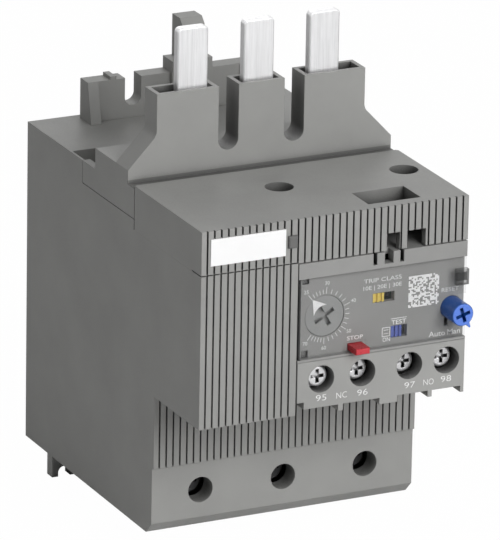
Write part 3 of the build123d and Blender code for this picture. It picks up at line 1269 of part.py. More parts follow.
def make_reset_knob():
    """The blue knob: a slotted round cap with a small pointer, bored for its spindle."""
    x, z = RESET_CENTRE
    rear = FACE_BACK + FLANGE_GAP + SLIDE_LIP
    with BuildPart() as knob:
        rod(RESET_CENTRE, RESET_RADIUS, (-RESET_PROUD, rear))
        chamfer(knob.faces().sort_by(Axis.Y)[0].edges(), RUN_GAP * 3)
        with BuildSketch(front_plane(-RESET_PROUD)) as pointer:
            with BuildLine():
                tip = RESET_RADIUS + POINTER_LENGTH
                half = POINTER_WIDTH / 2
                base = RESET_RADIUS - POINTER_LENGTH
                ends = [(tip, -half / 2), (tip, half / 2)]
                Polyline((base, -half * 2), *ends, (base, half * 2), close=True)
            make_face()
        turned = pointer.sketch.rotate(Axis((0, depth(-RESET_PROUD), 0), (0, -1, 0)), -POINTER_ANGLE)
        extrude(turned.moved(Location((x, 0, z))), amount=POINTER_DEPTH, dir=(0, 1, 0))
        rod(RESET_CENTRE, RESET_SPINDLE + THREAD_GAP, (rear - KNOB_BORE_DEPTH, rear), Mode.SUBTRACT)
        slot = (KNOB_SLOT_LENGTH, KNOB_SLOT, KNOB_SLOT_DEPTH)
        cross_slot(RESET_CENTRE, -RESET_PROUD, *slot, KNOB_SLOT_ANGLE)
    return knob


def make_reset_plunger():
    """The part that the knob turns on and pushes: spindle, collar and rod."""
    collar = FACE_BACK + FLANGE_GAP + SLIDE_LIP + FLANGE_GAP
    with BuildPart() as plunger:
        rod(RESET_CENTRE, RESET_SPINDLE, (collar - KNOB_BORE_DEPTH, collar))
        rod(RESET_CENTRE, RESET_COLLAR, (collar, collar + COLLAR_LENGTH))
        rod(RESET_CENTRE, RESET_ROD_RADIUS, (collar + COLLAR_LENGTH, RESET_ROD_END))
    return plunger


def make_spring(centre, radius, turns, front, rear):
    """A compression spring between two depths."""
    length = rear - front - SPRING_WIRE
    start = (centre[0], depth(front + SPRING_WIRE / 2), centre[1])
    with BuildPart() as spring:
        with BuildLine() as path:
            Helix(pitch=length / turns, height=length, radius=radius, center=start, direction=(0, 1, 0))
        with BuildSketch(Plane(origin=path.line @ 0, z_dir=path.line % 0)):
            RegularPolygon(SPRING_WIRE / 2, 6)
        sweep(is_frenet=True)
    return spring


os.makedirs("parts", exist_ok=True)
save(make_main_housing(), "main_housing")
save(make_rear_cover(), "rear_cover")
save(make_cover_screws(), "cover_screws")
save(make_top_cover(), "top_cover")
save(make_marker_label(), "marker_label")
save(make_marker_latch(), "marker_latch")
save(make_terminal_shroud(), "terminal_shroud")
save(make_contactor_bracket(), "contactor_bracket")
save(make_contactor_hook(), "contactor_hook")
save(make_control_housing(), "control_housing")
save(make_aux_terminal_block(), "aux_terminal_block")
save(make_clear_cover(), "clear_cover")
for number, (blade_x, phase_x) in enumerate(zip(BLADE_XS, PHASE_XS), start=1):
    save(make_busbar(blade_x, phase_x), f"busbar_{number}")
    save(make_transformer_core(phase_x), f"transformer_core_{number}")
    save(make_transformer_winding(phase_x), f"transformer_winding_{number}")
    save(make_load_clamp(phase_x), f"load_clamp_{number}")
    save(make_load_screw(phase_x), f"load_screw_{number}")
for number, (aux_x, head_depth) in enumerate(zip(AUX_XS, AUX_HEAD_DEPTHS), start=1):
    save(make_aux_screw(aux_x, head_depth), f"aux_screw_{number}")
    save(make_aux_clamp(aux_x, head_depth), f"aux_clamp_{number}")
save(make_contact_strips(), "contact_strips")
save(make_bridge(AUX_XS[:2], NC_BRIDGE_FRONT, "front"), "nc_bridge")
save(make_bridge(AUX_XS[2:], NO_BRIDGE_FRONT, "rear"), "no_bridge")
save(make_contact_carrier(), "contact_carrier")
save(make_trip_yoke(), "trip_yoke")
save(make_trip_coil(), "trip_coil")
save(make_trip_plunger(), "trip_plunger")
save(make_current_dial(), "current_dial")
save(make_setting_potentiometer(), "setting_potentiometer")
save(make_slider(class_window(), CLASS_TRAVEL), "trip_class_slider")
save(make_slider(test_window(), TEST_TRAVEL), "test_slider")
save(make_slide_switches(), "slide_switches")
save(make_control_board(), "control_board")
save(make_board_chips(), "board_chips")
save(make_stop_button(), "stop_button")
save(make_reset_knob(), "reset_knob")
save(make_reset_plunger(), "reset_plunger")
stop_spring = (FACE_BACK + FLANGE_GAP + FLANGE, SPRING_SEAT)
save(make_spring(STOP_CENTRE, STOP_SPRING_RADIUS, STOP_SPRING_TURNS, *stop_spring), "stop_spring")
reset_spring = (FACE_BACK + 2 * FLANGE_GAP + SLIDE_LIP + COLLAR_LENGTH, BOARD_DEPTH)
save(make_spring(RESET_CENTRE, RESET_SPRING_RADIUS, RESET_SPRING_TURNS, *reset_spring), "reset_spring")
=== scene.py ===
"""Looks of a plug-on overload relay: moulded plastics, plated bars, printed face and studio light."""

import math
import random

import bmesh
import bpy
from mathutils import Matrix, Vector


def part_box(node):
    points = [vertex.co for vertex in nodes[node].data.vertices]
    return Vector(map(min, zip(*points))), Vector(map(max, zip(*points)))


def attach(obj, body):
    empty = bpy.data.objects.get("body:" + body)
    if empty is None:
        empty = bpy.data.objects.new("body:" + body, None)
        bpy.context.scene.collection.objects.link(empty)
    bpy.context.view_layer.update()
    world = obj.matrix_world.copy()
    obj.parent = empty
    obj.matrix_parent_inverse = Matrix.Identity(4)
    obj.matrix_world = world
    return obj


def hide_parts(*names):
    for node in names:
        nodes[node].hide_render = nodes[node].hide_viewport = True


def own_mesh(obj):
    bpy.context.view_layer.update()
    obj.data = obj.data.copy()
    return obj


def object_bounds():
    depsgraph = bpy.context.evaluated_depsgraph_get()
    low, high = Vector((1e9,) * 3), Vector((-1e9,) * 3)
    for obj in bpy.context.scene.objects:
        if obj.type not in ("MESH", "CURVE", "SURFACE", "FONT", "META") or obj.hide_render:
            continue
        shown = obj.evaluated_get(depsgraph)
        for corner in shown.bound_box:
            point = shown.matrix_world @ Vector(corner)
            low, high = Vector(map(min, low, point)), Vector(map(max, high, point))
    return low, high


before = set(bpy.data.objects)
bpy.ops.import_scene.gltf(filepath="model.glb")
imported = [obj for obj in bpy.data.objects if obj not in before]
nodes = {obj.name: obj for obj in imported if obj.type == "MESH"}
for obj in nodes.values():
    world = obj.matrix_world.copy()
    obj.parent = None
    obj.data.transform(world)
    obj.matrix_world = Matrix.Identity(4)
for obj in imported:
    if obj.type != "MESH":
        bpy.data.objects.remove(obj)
cad_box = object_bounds()
bpy.context.scene.view_settings.view_transform = "Standard"

MM = 0.001


def corners(node):
    """A CAD node's lowest and highest corners, in millimetres."""
    return [[round(value / MM, 3) for value in corner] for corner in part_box(node)]


# Places in millimetres, from the CAD
MODULE_LEFT, MODULE_FRONT, _ = corners("control_housing")[0]
COVER_TOP = corners("top_cover")[1][2]
SHROUD_FRONT = corners("terminal_shroud")[0][1]
BUTTON_FRONT = corners("stop_button")[0][1]
KNOB_FRONT = corners("reset_knob")[0][1]
DIAL_X, _, DIAL_Z = [(low + high) / 2 for low, high in zip(*corners("current_dial"))]

# How far the control face lies behind the module's front, in millimetres
FACE_DEPTH = 1.3

POLES = 3
AUX_TERMINALS = 4


def front(x, z, depth=0.0):
    """A point in metres, from X, Z and the distance behind the module's front in millimetres."""
    return Vector((x, MODULE_FRONT + depth, z)) * MM


def grey(level):
    """A neutral colour."""
    return (level,) * 3


def scaled(colour, factor):
    """A colour made darker or paler, at most white."""
    return tuple(min(1, part * factor) for part in colour)


# Building blocks of materials

WHITE = grey(1)

# How open a place is where a hollow's shade is full and where it ends, from 0 to 1
HOLLOW_LIMITS = (0.25, 0.62)


def new_material(name, colour, roughness, metallic=0.0):
    """A material with its node tree and its shader, to build on."""
    material = bpy.data.materials.new(name)
    material.use_nodes = True
    tree = material.node_tree
    shader = tree.nodes["Principled BSDF"]
    shader.inputs["Base Color"].default_value = (*colour, 1)
    shader.inputs["Roughness"].default_value = roughness
    shader.inputs["Metallic"].default_value = metallic
    return material, tree, shader


def object_place(tree):
    """Object coordinates, in metres."""
    return tree.nodes.new("ShaderNodeTexCoord").outputs["Object"]


def noise(tree, scale, detail, stretch=(1, 1, 1), roughness=0.55):
    """A noise texture, stretched along an axis if asked."""
    mapping = tree.nodes.new("ShaderNodeMapping")
    mapping.inputs["Scale"].default_value = stretch
    texture = tree.nodes.new("ShaderNodeTexNoise")
    texture.inputs["Scale"].default_value = scale
    texture.inputs["Detail"].default_value = detail
    texture.inputs["Roughness"].default_value = roughness
    tree.links.new(object_place(tree), mapping.inputs["Vector"])
    tree.links.new(mapping.outputs["Vector"], texture.inputs["Vector"])
    return texture


def ramp(tree, source, low, high, colours):
    """The colour that a texture's value gives, between two limits and their two colours."""
    band = tree.nodes.new("ShaderNodeValToRGB")
    ends = band.color_ramp.elements
    for end, limit, colour in zip(ends, (low, high), colours):
        end.position = limit
        end.color = (*colour, 1)
    tree.links.new(source.outputs[0], band.inputs["Fac"])
    return band.outputs["Color"]


def along(tree, axis, low, high, colours):
    """A colour that changes along an object axis, between two places in millimetres."""
    parts = tree.nodes.new("ShaderNodeSeparateXYZ")
    span = tree.nodes.new("ShaderNodeMapRange")
    span.inputs["From Min"].default_value = low * MM
    span.inputs["From Max"].default_value = high * MM
    tree.links.new(object_place(tree), parts.inputs["Vector"])
    tree.links.new(parts.outputs[axis], span.inputs["Value"])
    return ramp(tree, span, 0.0, 1.0, colours)


def blended(tree, way, first, second):
    """Two colours blended, such as multiplied."""
    joined = tree.nodes.new("ShaderNodeMix")
    joined.data_type = "RGBA"
    joined.blend_type = way
    joined.inputs[0].default_value = 1.0
    tree.links.new(first, joined.inputs[6])
    tree.links.new(second, joined.inputs[7])
    return joined.outputs[2]


def computed(tree, operation, first, second):
    """A product, maximum or the like of a socket with a number or with another socket."""
    node = tree.nodes.new("ShaderNodeMath")
    node.operation = operation
    tree.links.new(first, node.inputs[0])
    if isinstance(second, float):
        node.inputs[1].default_value = second
    else:
        tree.links.new(second, node.inputs[1])
    return node.outputs[0]


def bump(tree, shader, source, strength, distance, edge=0.0):
    """Adds a bump from a texture, on top of softened edges if asked, with both sizes in millimetres."""
    node = tree.nodes.new("ShaderNodeBump")
    node.inputs["Strength"].default_value = strength
    node.inputs["Distance"].default_value = distance * MM
    tree.links.new(source.outputs[0], node.inputs["Height"])
    if edge:
        soft = tree.nodes.new("ShaderNodeBevel")
        soft.samples = 4
        soft.inputs["Radius"].default_value = edge * MM
        tree.links.new(soft.outputs["Normal"], node.inputs["Normal"])
    tree.links.new(node.outputs["Normal"], shader.inputs["Normal"])


def darken_hollows(tree, shader, tint, reach, darkest, own_shape_only=False, limits=HOLLOW_LIMITS):
    """Paints shade into a colour in narrow grooves and slots, whose walls are within a reach in millimetres.
    """
    hollow = tree.nodes.new("ShaderNodeAmbientOcclusion")
    hollow.samples = 8
    hollow.only_local = own_shape_only
    hollow.inputs["Distance"].default_value = reach * MM
    shade = ramp(tree, hollow, *limits, (grey(darkest), WHITE))
    tree.links.new(blended(tree, "MULTIPLY", tint, shade), shader.inputs["Base Color"])


# Materials of several pieces

# How far behind a button's foremost point its painted light on the front starts and stops fading, in
# millimetres
LIT_FRONT_FADE = (0.06, 0.14)


def moulded(name, colour, roughness=0.5, grain=2600.0, depth=0.012, edge=0.22, spread=0.06, shade=0.12,
            lit_front_face=None, alone=False, reach=2.2, limits=HOLLOW_LIMITS, seam=(), seam_shade=0.1):
    """Moulded plastic: fine grain, faint colour drift, softened edges, and painted shade in its hollows.

    A lit front face is painted a paler colour, for the light that falls on it, and comes with the Y of its
    foremost point. A seam is painted shade in a joint's gap, dark where all its ramps are: each is an axis
    and the places of its dark and clear end. Alone means that no other piece shades the hollows.
    """
    material, tree, shader = new_material(name, colour, roughness)
    shader.inputs["Specular IOR Level"].default_value = 0.4
    # Painted light: a paler front for the light that falls on it, fading into the darker colour of the
    # shaded sides
    if lit_front_face:
        lit_face_colour, foremost = lit_front_face
        tint = along(tree, "Y", foremost + LIT_FRONT_FADE[0], foremost + LIT_FRONT_FADE[1], (lit_face_colour, colour))
    else:
        drift = noise(tree, scale=55, detail=4)
        tint = ramp(tree, drift, 0.3, 0.7, (scaled(colour, 1 - spread), scaled(colour, 1 + spread)))
    # Painted shade in a seam's gap, dark only where all its ramps are dark
    if seam:
        seam_shadow, *others = [along(tree, *limit, (grey(seam_shade), WHITE)) for limit in seam]
        for other in others:
            seam_shadow = blended(tree, "LIGHTEN", seam_shadow, other)
        tint = blended(tree, "MULTIPLY", tint, seam_shadow)
    # Painted shade: the colour is darkened in hollows where ambient occlusion finds near walls
    darken_hollows(tree, shader, tint, reach, shade, alone, limits)
    pits = noise(tree, scale=grain, detail=2)
    gloss = ramp(tree, pits, 0.3, 0.7, (grey(roughness - 0.06), grey(roughness + 0.08)))
    tree.links.new(gloss, shader.inputs["Roughness"])
    bump(tree, shader, pits, 0.5, depth, edge)
    return material


def rolled(name, colour, roughness, streak, depth=0.006, edge=0.25, spread=0.12, metallic=1.0):
    """Rolled or drawn metal with streaks along the axis whose streak number is low."""
    material, tree, shader = new_material(name, colour, roughness, metallic)
    lines = noise(tree, scale=1.0, detail=4, stretch=streak, roughness=0.7)
    tint = ramp(tree, lines, 0.25, 0.75, (scaled(colour, 1 - spread), colour))
    # Painted shade in the metal's slots and grooves, found from its own shape only
    darken_hollows(tree, shader, tint, reach=1.2, darkest=0.02, own_shape_only=True, limits=(0.35, 0.85))
    gloss = ramp(tree, lines, 0.2, 0.8, (grey(roughness + 0.12), grey(max(0.05, roughness - 0.08))))
    tree.links.new(gloss, shader.inputs["Roughness"])
    bump(tree, shader, lines, 0.5, depth, edge)
    return material


def printed(name, colour):
    """Pad-printed ink, thin and a little uneven."""
    material, tree, shader = new_material(name, colour, 0.45)
    speckle = noise(tree, scale=3000, detail=2)
    tint = ramp(tree, speckle, 0.3, 0.6, (scaled(colour, 0.88), colour))
    tree.links.new(tint, shader.inputs["Base Color"])
    bump(tree, shader, speckle, 0.2, 0.005)
    return material


# Materials of a kind of their own

def wound_copper():
    """Enamelled wire laid turn beside turn."""
    material, tree, shader = new_material("enamelled_copper", (0.55, 0.2, 0.08), 0.3, 0.85)
    turns = tree.nodes.new("ShaderNodeTexWave")
    turns.bands_direction = "X"
    turns.inputs["Scale"].default_value = 800
    turns.inputs["Distortion"].default_value = 0.6
    tree.links.new(object_place(tree), turns.inputs["Vector"])
    tint = ramp(tree, turns, 0.1, 0.9, ((0.2, 0.06, 0.02), (0.6, 0.24, 0.1)))
    tree.links.new(tint, shader.inputs["Base Color"])
    bump(tree, shader, turns, 0.8, 0.1)
    return material


def laminated_steel():
    """Stacked sheets, seen as fine level lines."""
    material, tree, shader = new_material("laminated_steel", (0.2, 0.2, 0.21), 0.45, 0.8)
    lines = noise(tree, scale=1.0, detail=2, stretch=(20, 20, 2600))
    tint = ramp(tree, lines, 0.35, 0.65, ((0.1, 0.1, 0.11), (0.3, 0.3, 0.31)))
    tree.links.new(tint, shader.inputs["Base Color"])
    bump(tree, shader, lines, 0.6, 0.05)
    return material


def clear_sheet():
    """Clear polycarbonate with faint scuffs; darker and less clear at the eyelet in front; painted shadow at
    the hinge's barrel.
    """
    clear_colour = (0.22, 0.225, 0.225)
    darker_eyelet_colour = (0.03, 0.031, 0.031)
    eyelet = ("Y", MODULE_FRONT - 0.12, MODULE_FRONT - 0.04)
    barrel = ("X", MODULE_LEFT + 0.74, MODULE_LEFT + 0.84)
    material, tree, shader = new_material("clear_polycarbonate", clear_colour, 0.12)
    shader.inputs["IOR"].default_value = 1.58
    tint = along(tree, *eyelet, (darker_eyelet_colour, clear_colour))
    # Painted shadow in the gap at the hinge's barrel, made nearly opaque so that it shows
    shadow = along(tree, *barrel, (grey(0.05), WHITE))
    tree.links.new(blended(tree, "MULTIPLY", tint, shadow), shader.inputs["Base Color"])
    sheet_clearness = along(tree, *eyelet, (grey(0.4), grey(0.92)))
    barrel_clearness = along(tree, *barrel, (grey(0.1), WHITE))
    opacity = tree.nodes.new("ShaderNodeInvert")
    tree.links.new(blended(tree, "MULTIPLY", sheet_clearness, barrel_clearness), opacity.inputs["Color"])
    tree.links.new(opacity.outputs["Color"], shader.inputs["Alpha"])
    scuffs = noise(tree, scale=1.0, detail=3, stretch=(120, 120, 900))
    gloss = ramp(tree, scuffs, 0.4, 0.75, (grey(0.1), grey(0.2)))
    tree.links.new(gloss, shader.inputs["Roughness"])
    bump(tree, shader, scuffs, 0.15, 0.01)
    material.surface_render_method = "BLENDED"
    return material


# Finishes of the CAD nodes

def dress(material, *names):
    """Gives CAD nodes a material."""
    for name in names:
        slots = nodes[name].data.materials
        slots.clear()
        slots.append(material)


def numbered(name, count):
    """The names of a repeated node, such as busbar_1 to busbar_3."""
    return [f"{name}_{i}" for i in range(1, count + 1)]


GREY = (0.315, 0.315, 0.305)

# How closely the streaks of rolled metal lie along X, Y and Z
EVEN = (700, 700, 700)
SIDEWAYS = (300, 900, 900)

# Painted shade in the gaps of joints and at the shroud's foot, in millimetres
SHROUD_FOOT_SHADE = (("Z", COVER_TOP + 0.1, COVER_TOP + 0.2), ("Z", COVER_TOP - 0.8, COVER_TOP - 0.9),
               ("Y", SHROUD_FRONT + 3.7, SHROUD_FRONT + 3.9))
MODULE_SEAM_SHADE = (("X", MODULE_LEFT + 0.25, MODULE_LEFT + 0.35),)
FACE_SEAM_SHADE = (("X", MODULE_LEFT + 0.15, MODULE_LEFT + 0.25),)

dress(moulded("grey_housing_plastic", GREY, shade=0.06, reach=8.0, limits=(0.18, 0.48)),
      "main_housing", "rear_cover", "contactor_bracket", "contactor_hook")
dress(moulded("grey_cover_plastic", GREY, alone=True, reach=8.0, limits=(0.35, 0.9)), "top_cover")
dress(moulded("grey_shroud_plastic", GREY, alone=True, reach=12.0, limits=(0.35, 0.75),
              seam=SHROUD_FOOT_SHADE, seam_shade=0.6), "terminal_shroud")
# Painted shade: the latch sits in a notch, so its plastic is darker than the grey housing
dress(moulded("shaded_latch_plastic", (0.14, 0.14, 0.137)), "marker_latch")
dress(moulded("grey_module_plastic", (0.34, 0.34, 0.33), roughness=0.45, shade=0.06, alone=True,
              reach=9.0, limits=(0.3, 0.8), seam=MODULE_SEAM_SHADE), "aux_terminal_block")
dress(moulded("grey_face_plastic", (0.298, 0.298, 0.291), roughness=0.45, alone=True, seam=FACE_SEAM_SHADE),
      "control_housing")
dress(moulded("white_label_plastic", grey(0.95), roughness=0.35, grain=3000, depth=0.004, edge=0.12,
              spread=0.01, shade=0.8), "marker_label")
dress(moulded("dial_plastic", (0.31, 0.315, 0.31), roughness=0.35, depth=0.006, edge=0.12, shade=0.35,
              alone=True), "current_dial")
# Painted light on the button's and the knob's fronts, paler than their shaded sides
dress(moulded("red_button_plastic", (0.42, 0.006, 0.015), roughness=0.3, depth=0.006, edge=0.12,
              lit_front_face=((0.56, 0.045, 0.06), BUTTON_FRONT), alone=True), "stop_button")
dress(moulded("blue_knob_plastic", (0.006, 0.075, 0.33), roughness=0.3, depth=0.006, edge=0.12, shade=1.0,
              lit_front_face=((0.11, 0.23, 0.74), KNOB_FRONT), alone=True), "reset_knob")
dress(moulded("blue_slide_plastic", (0.12, 0.17, 0.56), roughness=0.35, depth=0.006, edge=0.1, shade=0.8),
      "test_slider")
dress(moulded("yellow_slide_plastic", (0.95, 0.72, 0.15), roughness=0.35, depth=0.006, edge=0.1, shade=0.8),
      "trip_class_slider")
dress(moulded("natural_carrier_plastic", (0.62, 0.6, 0.54), roughness=0.45),
      "contact_carrier", "reset_plunger")
dress(moulded("black_component_plastic", (0.02, 0.02, 0.022)), "board_chips", "setting_potentiometer")
dress(moulded("grey_switch_plastic", (0.5, 0.5, 0.46), shade=0.5), "slide_switches")
dress(moulded("green_solder_mask", (0.02, 0.12, 0.05), roughness=0.3, grain=900, depth=0.01, edge=0.0),
      "control_board")
dress(clear_sheet(), "clear_cover")

dress(rolled("tin_plated_bar", (0.97, 0.97, 0.98), 0.34, (1100, 1100, 40), spread=0.3, metallic=0.65),
      *numbered("busbar", POLES))
dress(rolled("bright_zinc_screw", (0.93, 0.93, 0.94), 0.28, EVEN, depth=0.004, edge=0.18, metallic=0.75),
      "cover_screws", *numbered("aux_screw", AUX_TERMINALS))
# Painted shade: the load screws sit deep in their holes, so they get a dark steel in place of the bright one
dress(rolled("shaded_screw_steel", (0.16, 0.16, 0.165), 0.4, EVEN, depth=0.004, edge=0.18),
      *numbered("load_screw", POLES))
dress(rolled("clamp_steel", (0.55, 0.55, 0.56), 0.35, SIDEWAYS),
      *numbered("load_clamp", POLES), *numbered("aux_clamp", AUX_TERMINALS))
dress(rolled("contact_brass", (0.75, 0.56, 0.3), 0.3, SIDEWAYS), "contact_strips", "nc_bridge", "no_bridge")
dress(laminated_steel(), *numbered("transformer_core", POLES), "trip_yoke", "trip_plunger")
dress(wound_copper(), *numbered("transformer_winding", POLES), "trip_coil")

spring_wire = rolled("spring_wire", (0.6, 0.6, 0.61), 0.25, (900, 900, 900), depth=0.002, edge=0.0)
dress(spring_wire, "stop_spring", "reset_spring")
white_ink = printed("white_ink", grey(0.95))
pale_ink = printed("pale_ink", (0.8, 0.81, 0.81))


# Building blocks of pieces

PRINT_THICKNESS = 0.03
STROKE_GAIN = 0.005

# Height of the font's capitals as a share of its size
CAPITAL_SHARE = 0.72


def new_object(name, data):
    """An object in the scene that holds a mesh, a text, a lamp or a camera."""
    holder = bpy.data.objects.new(name, data)
    bpy.context.scene.collection.objects.link(holder)
    return holder


def finished(work, name):
    """The mesh that a bmesh has made."""
    mesh = bpy.data.meshes.new(name)
    work.to_mesh(mesh)
    work.free()
    return mesh


def add_piece(name, mesh, material, body):
    """Puts a finished mesh in the scene and lets it ride on its body."""
    mesh.materials.clear()
    mesh.materials.append(material)
    piece = new_object(name, mesh)
    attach(piece, body)
    return piece


def printed_on(x, z, depth):
    """The transform that stands a flat drawing up on the front, from its centre and its depth there."""
    centre = front(x, z, depth - PRINT_THICKNESS / 2)
    return Matrix.Translation(centre) @ Matrix.Rotation(math.pi / 2, 4, "X")


def lettering(name, words, x, z, height, depth, ink, width=None, gain=STROKE_GAIN):
    """Printed letters, centred at X and Z, with capitals of a given height in millimetres."""
    curve = bpy.data.curves.new(name, "FONT")
    curve.body = words
    curve.align_x = "CENTER"
    curve.align_y = "CENTER"
    curve.size = height * MM / CAPITAL_SHARE
    curve.extrude = PRINT_THICKNESS / 2 * MM
    curve.offset = gain * MM
    curve.resolution_u = 3
    holder = new_object(name, curve)
    bpy.context.view_layer.update()
    mesh = bpy.data.meshes.new_from_object(holder)
    bpy.data.objects.remove(holder)
    if width:
        across = [vertex.co.x for vertex in mesh.vertices]
        mesh.transform(Matrix.Scale(width * MM / (max(across) - min(across)), 4, (1, 0, 0)))
    mesh.transform(printed_on(x, z, depth))
    mesh.name = name
    return add_piece(name, mesh, ink, "frame")


def flat_bars(name, bars, ink):
    """Bars printed on the face: each is centre X, centre Z, length, width and angle in degrees."""
    work = bmesh.new()
    for x, z, length, width, angle in bars:
        bar = bmesh.ops.create_cube(work, size=MM)
        size = Matrix.Diagonal((length, width, PRINT_THICKNESS, 1))
        turn = Matrix.Rotation(math.radians(angle), 4, "Z")
        bmesh.ops.transform(work, matrix=printed_on(x, z, FACE_DEPTH) @ turn @ size, verts=bar["verts"])
    return add_piece(name, finished(work, name), ink, "frame")


# Springs behind the button and the knob: copies of their meshes that ride on the frame, in place of the CAD
# nodes
for name, joint in (("stop_spring", "stop_push"), ("reset_spring", "reset_push")):
    coil = add_piece(f"{name}_coil", nodes[name].data.copy(), spring_wire, "frame")
    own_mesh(coil)
    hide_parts(name)

# Printing under the auxiliary screws: piece, words, and the words' centre X and Z
AUX_PRINT = (
    ("print_95", "95", -3.0, 39.3),
    ("print_nc", "NC", 2.35, 39.2),
    ("print_96", "96", 7.9, 39.1),
    ("print_97", "97", 20.45, 39.1),
    ("print_no", "NO", 25.5, 39.15),
    ("print_98", "98", 30.2, 39.3),
)
AUX_CAPITALS = 1.6
AUX_WIDTH = 2.75
THINNER_STROKES = -0.035
for name, words, x, z in AUX_PRINT:
    lettering(name, words, x, z, AUX_CAPITALS, 0, white_ink, AUX_WIDTH, THINNER_STROKES)

# Printing on the face: piece, words, the words' centre X and Z, height of capitals, width of the words, ink
FACE_PRINT = (
    ("print_stop", "STOP", 6.2, 52.75, 1.05, 4.2, white_ink),
    ("print_reset", "RESET", 31.3, 61.4, 1.05, 4.6, pale_ink),
    ("print_auto", "Auto", 28.15, 50.6, 1.4, 4.4, white_ink),
    ("print_man", "Man", 32.6, 50.6, 1.4, 3.4, white_ink),
    ("print_trip_class", "TRIP CLASS", 13.3, 66.4, 1.05, 10.0, pale_ink),
    ("print_classes", "10E | 20E | 30E", 13.1, 64.62, 1.0, 10.2, pale_ink),
    ("print_test", "TEST", 17.8, 55.1, 1.1, 3.9, white_ink),
    ("print_on", "ON", 14.6, 51.05, 1.1, 2.0, white_ink),
)
for name, words, x, z, height, width, ink in FACE_PRINT:
    lettering(name, words, x, z, height, FACE_DEPTH, ink, width)

# Line over the word TEST, and a box with two marks in it over the word ON
flat_bars("print_test_line", [(17.8, 56.1, 4.2, 0.14, 0)], white_ink)
BOX_LINE = 0.16
BOX_MARK = 0.12
flat_bars("print_on_box", [
    (14.45, 54.1, 2.1, BOX_LINE, 0),
    (14.45, 51.95, 2.1, BOX_LINE, 0),
    (13.45, 53.0, 2.2, BOX_LINE, 90),
    (15.45, 53.0, 2.2, BOX_LINE, 90),
    (14.45, 53.5, 1.3, BOX_MARK, 0),
    (14.45, 52.6, 1.3, BOX_MARK, 0),
], white_ink)

# Dial scale: a long stroke at each number, and equal steps from one number to the next
SCALE = ((25, 127.0), (30, 86.0), (40, 20.0), (50, -36.0), (60, -90.0), (70, -128.0))
SCALE_RADIUS = 5.5
NUMBER_RADIUS = 8.1
NUMBER_CAPITALS = 0.95
LONG_STROKE = 1.6
SHORT_STROKE = 1.1
STROKE_WIDTH = 0.15
STEPS = 5


def on_dial(radius, angle):
    """X and Z of a point round the dial, from its angle in degrees."""
    turn = math.radians(angle)
    return DIAL_X + radius * math.cos(turn), DIAL_Z + radius * math.sin(turn)


def scale_stroke(angle, length):
    """One stroke of the dial's scale."""
    return (*on_dial(SCALE_RADIUS + length / 2, angle), length, STROKE_WIDTH, angle)


strokes = []
for (number, angle), (_, next_angle) in zip(SCALE, SCALE[1:] + SCALE[-1:]):
    x, z = on_dial(NUMBER_RADIUS, angle)
    lettering(f"print_dial_{number}", str(number), x, z, NUMBER_CAPITALS, FACE_DEPTH, pale_ink)
    strokes.append(scale_stroke(angle, LONG_STROKE))
    if next_angle != angle:
        step = (next_angle - angle) / STEPS
        strokes += [scale_stroke(angle + step * k, SHORT_STROKE) for k in range(1, STEPS)]
flat_bars("print_dial_scale", strokes, pale_ink)

# Dial pointer: a white arrowhead with a hollow back, set into the dial, by corners from the dial's centre
POINTER = ((-3.2, 4.4), (-2.8, 0.35), (-2.4, 1.35), (-1.6, 2.15), (-0.6, 2.65), (0.5, 2.8))
POINTER_THICKNESS = 0.12
POINTER_STANDS_OUT = 0.04


def dial_pointer():
    """The pointer's outline, given its thickness."""
    work = bmesh.new()
    depth = FACE_DEPTH - POINTER_STANDS_OUT
    outline = work.faces.new([work.verts.new(front(DIAL_X + x, DIAL_Z + z, depth)) for x, z in POINTER])
    grown = bmesh.ops.extrude_face_region(work, geom=[outline])
    moved = [item for item in grown["geom"] if isinstance(item, bmesh.types.BMVert)]
    bmesh.ops.translate(work, verts=moved, vec=(0, POINTER_THICKNESS * MM, 0))
    bmesh.ops.recalc_face_normals(work, faces=work.faces)
    return finished(work, "dial_pointer")


add_piece("dial_pointer", dial_pointer(), white_ink, "dial")

# Patch of plain squares at random places
PATCH_LEFT, PATCH_RIGHT = 20.2, 28.3
PATCH_BOTTOM, PATCH_TOP = 58.2, 66.1
CELLS = 21
CELL_WIDTH = (PATCH_RIGHT - PATCH_LEFT) / CELLS
CELL_HEIGHT = (PATCH_TOP - PATCH_BOTTOM) / CELLS
FILLED_SHARE = 0.55

random.seed(7)
squares = []
for row in range(CELLS):
    for column in range(CELLS):
        if random.random() < FILLED_SHARE:
            x = PATCH_LEFT + (column + 0.5) * CELL_WIDTH
            z = PATCH_BOTTOM + (row + 0.5) * CELL_HEIGHT
            squares.append((x, z, CELL_WIDTH, CELL_HEIGHT, 0))
flat_bars("print_patch", squares, white_ink)


# Floor and studio

FLOOR_REACH = 3
FLOOR_WHITE_SHARE = 0.99
STUDIO_LEVEL = 0.165


def pale_floor():
    """A matt floor that keeps the object's shadow, and looks nearly white to the camera."""
    material, tree, shader = new_material("pale_floor", grey(0.86), 0.9)
    shader.inputs["Specular IOR Level"].default_value = 0.1
    white = tree.nodes.new("ShaderNodeEmission")
    white.inputs["Strength"].default_value = 1.0
    rays = tree.nodes.new("ShaderNodeLightPath")
    mix = tree.nodes.new("ShaderNodeMixShader")
    share = computed(tree, "MULTIPLY", rays.outputs["Is Camera Ray"], FLOOR_WHITE_SHARE)
    tree.links.new(share, mix.inputs[0])
    tree.links.new(shader.outputs[0], mix.inputs[1])
    tree.links.new(white.outputs[0], mix.inputs[2])
    tree.links.new(mix.outputs[0], tree.nodes["Material Output"].inputs["Surface"])
    return material


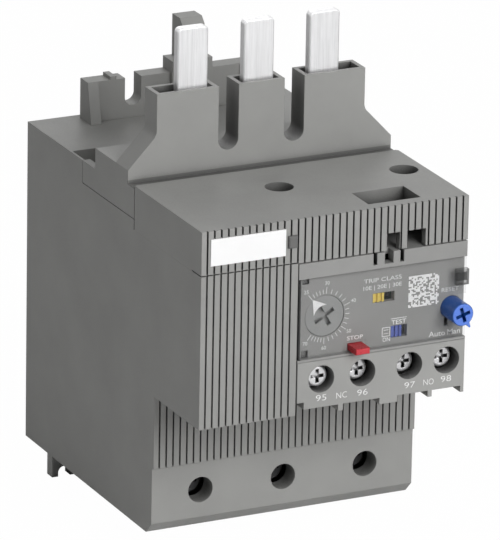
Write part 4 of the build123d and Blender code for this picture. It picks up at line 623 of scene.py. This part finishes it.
def white_studio():
    """A world that looks white, also in metal and through clear plastic, and lights the object less."""
    world = bpy.data.worlds.new("studio")
    world.use_nodes = True
    tree = world.node_tree
    background = tree.nodes["Background"]
    background.inputs["Color"].default_value = (*WHITE, 1)
    rays = tree.nodes.new("ShaderNodeLightPath")
    seen = computed(tree, "MAXIMUM", rays.outputs["Is Camera Ray"], rays.outputs["Is Glossy Ray"])
    seen = computed(tree, "MAXIMUM", seen, rays.outputs["Is Transmission Ray"])
    level = tree.nodes.new("ShaderNodeMix")
    level.data_type = "FLOAT"
    level.inputs["A"].default_value = STUDIO_LEVEL
    level.inputs["B"].default_value = 1.0
    tree.links.new(seen, level.inputs["Factor"])
    tree.links.new(level.outputs[0], background.inputs["Strength"])
    return world


work = bmesh.new()
bmesh.ops.create_grid(work, x_segments=1, y_segments=1, size=FLOOR_REACH)
bmesh.ops.translate(work, verts=work.verts, vec=(0, 0, cad_box[0][2]))
floor_mesh = finished(work, "floor")
floor_mesh.materials.append(pale_floor())
floor = new_object("floor", floor_mesh)
bpy.context.scene.world = white_studio()

# Lamps round the object's middle: sizes and distances in metres, directions in degrees
MIDDLE = Vector((0, -0.055, 0.05))


def direction(azimuth, elevation):
    """A unit vector from degrees round the object and degrees above the floor."""
    turn = math.radians(azimuth)
    rise = math.radians(elevation)
    return Vector((math.sin(turn) * math.cos(rise), -math.cos(turn) * math.cos(rise), math.sin(rise)))


def lamp(name, azimuth, elevation, distance, size, power):
    """A soft square lamp that looks at the object's middle."""
    toward = direction(azimuth, elevation)
    data = bpy.data.lights.new(name, "AREA")
    data.size = size
    data.energy = power
    turn = toward.to_track_quat("Z", "Y").to_matrix().to_4x4()
    new_object(name, data).matrix_world = Matrix.Translation(MIDDLE + toward * distance) @ turn


lamp("key", azimuth=12, elevation=28, distance=1.2, size=0.7, power=10.8)
lamp("top", azimuth=-10, elevation=82, distance=1.2, size=0.9, power=1.0)
lamp("left_fill", azimuth=-95, elevation=15, distance=1.4, size=0.8, power=0.7)
lamp("rear_fill", azimuth=170, elevation=35, distance=1.4, size=0.9, power=2.2)

# Camera as in the photo: its X, Z and distance before the module's front in millimetres, and its angles
CAMERA_X, CAMERA_Z, CAMERA_BEFORE = -665.6, 585.8, 1306.7
CAMERA_AZIMUTH, CAMERA_ELEVATION = -26.208, 19.36
CAMERA_ROLL = math.radians(1.074)
CAMERA_LENS = 440.86
CAMERA_SIGHT = 20


def camera_turn():
    """The camera's rotation, level at first and then rolled about its line of sight."""
    back = direction(CAMERA_AZIMUTH, CAMERA_ELEVATION)
    level_right = Vector((0, 0, 1)).cross(back).normalized()
    level_up = back.cross(level_right)
    right = math.cos(CAMERA_ROLL) * level_right + math.sin(CAMERA_ROLL) * level_up
    up = math.cos(CAMERA_ROLL) * level_up - math.sin(CAMERA_ROLL) * level_right
    return Matrix((right, up, back)).transposed().to_4x4()


camera_data = bpy.data.cameras.new("camera")
camera_data.lens = CAMERA_LENS
camera_data.clip_end = CAMERA_SIGHT
camera = new_object("camera", camera_data)
camera.matrix_world = Matrix.Translation(front(CAMERA_X, CAMERA_Z, -CAMERA_BEFORE)) @ camera_turn()
bpy.context.scene.camera = camera
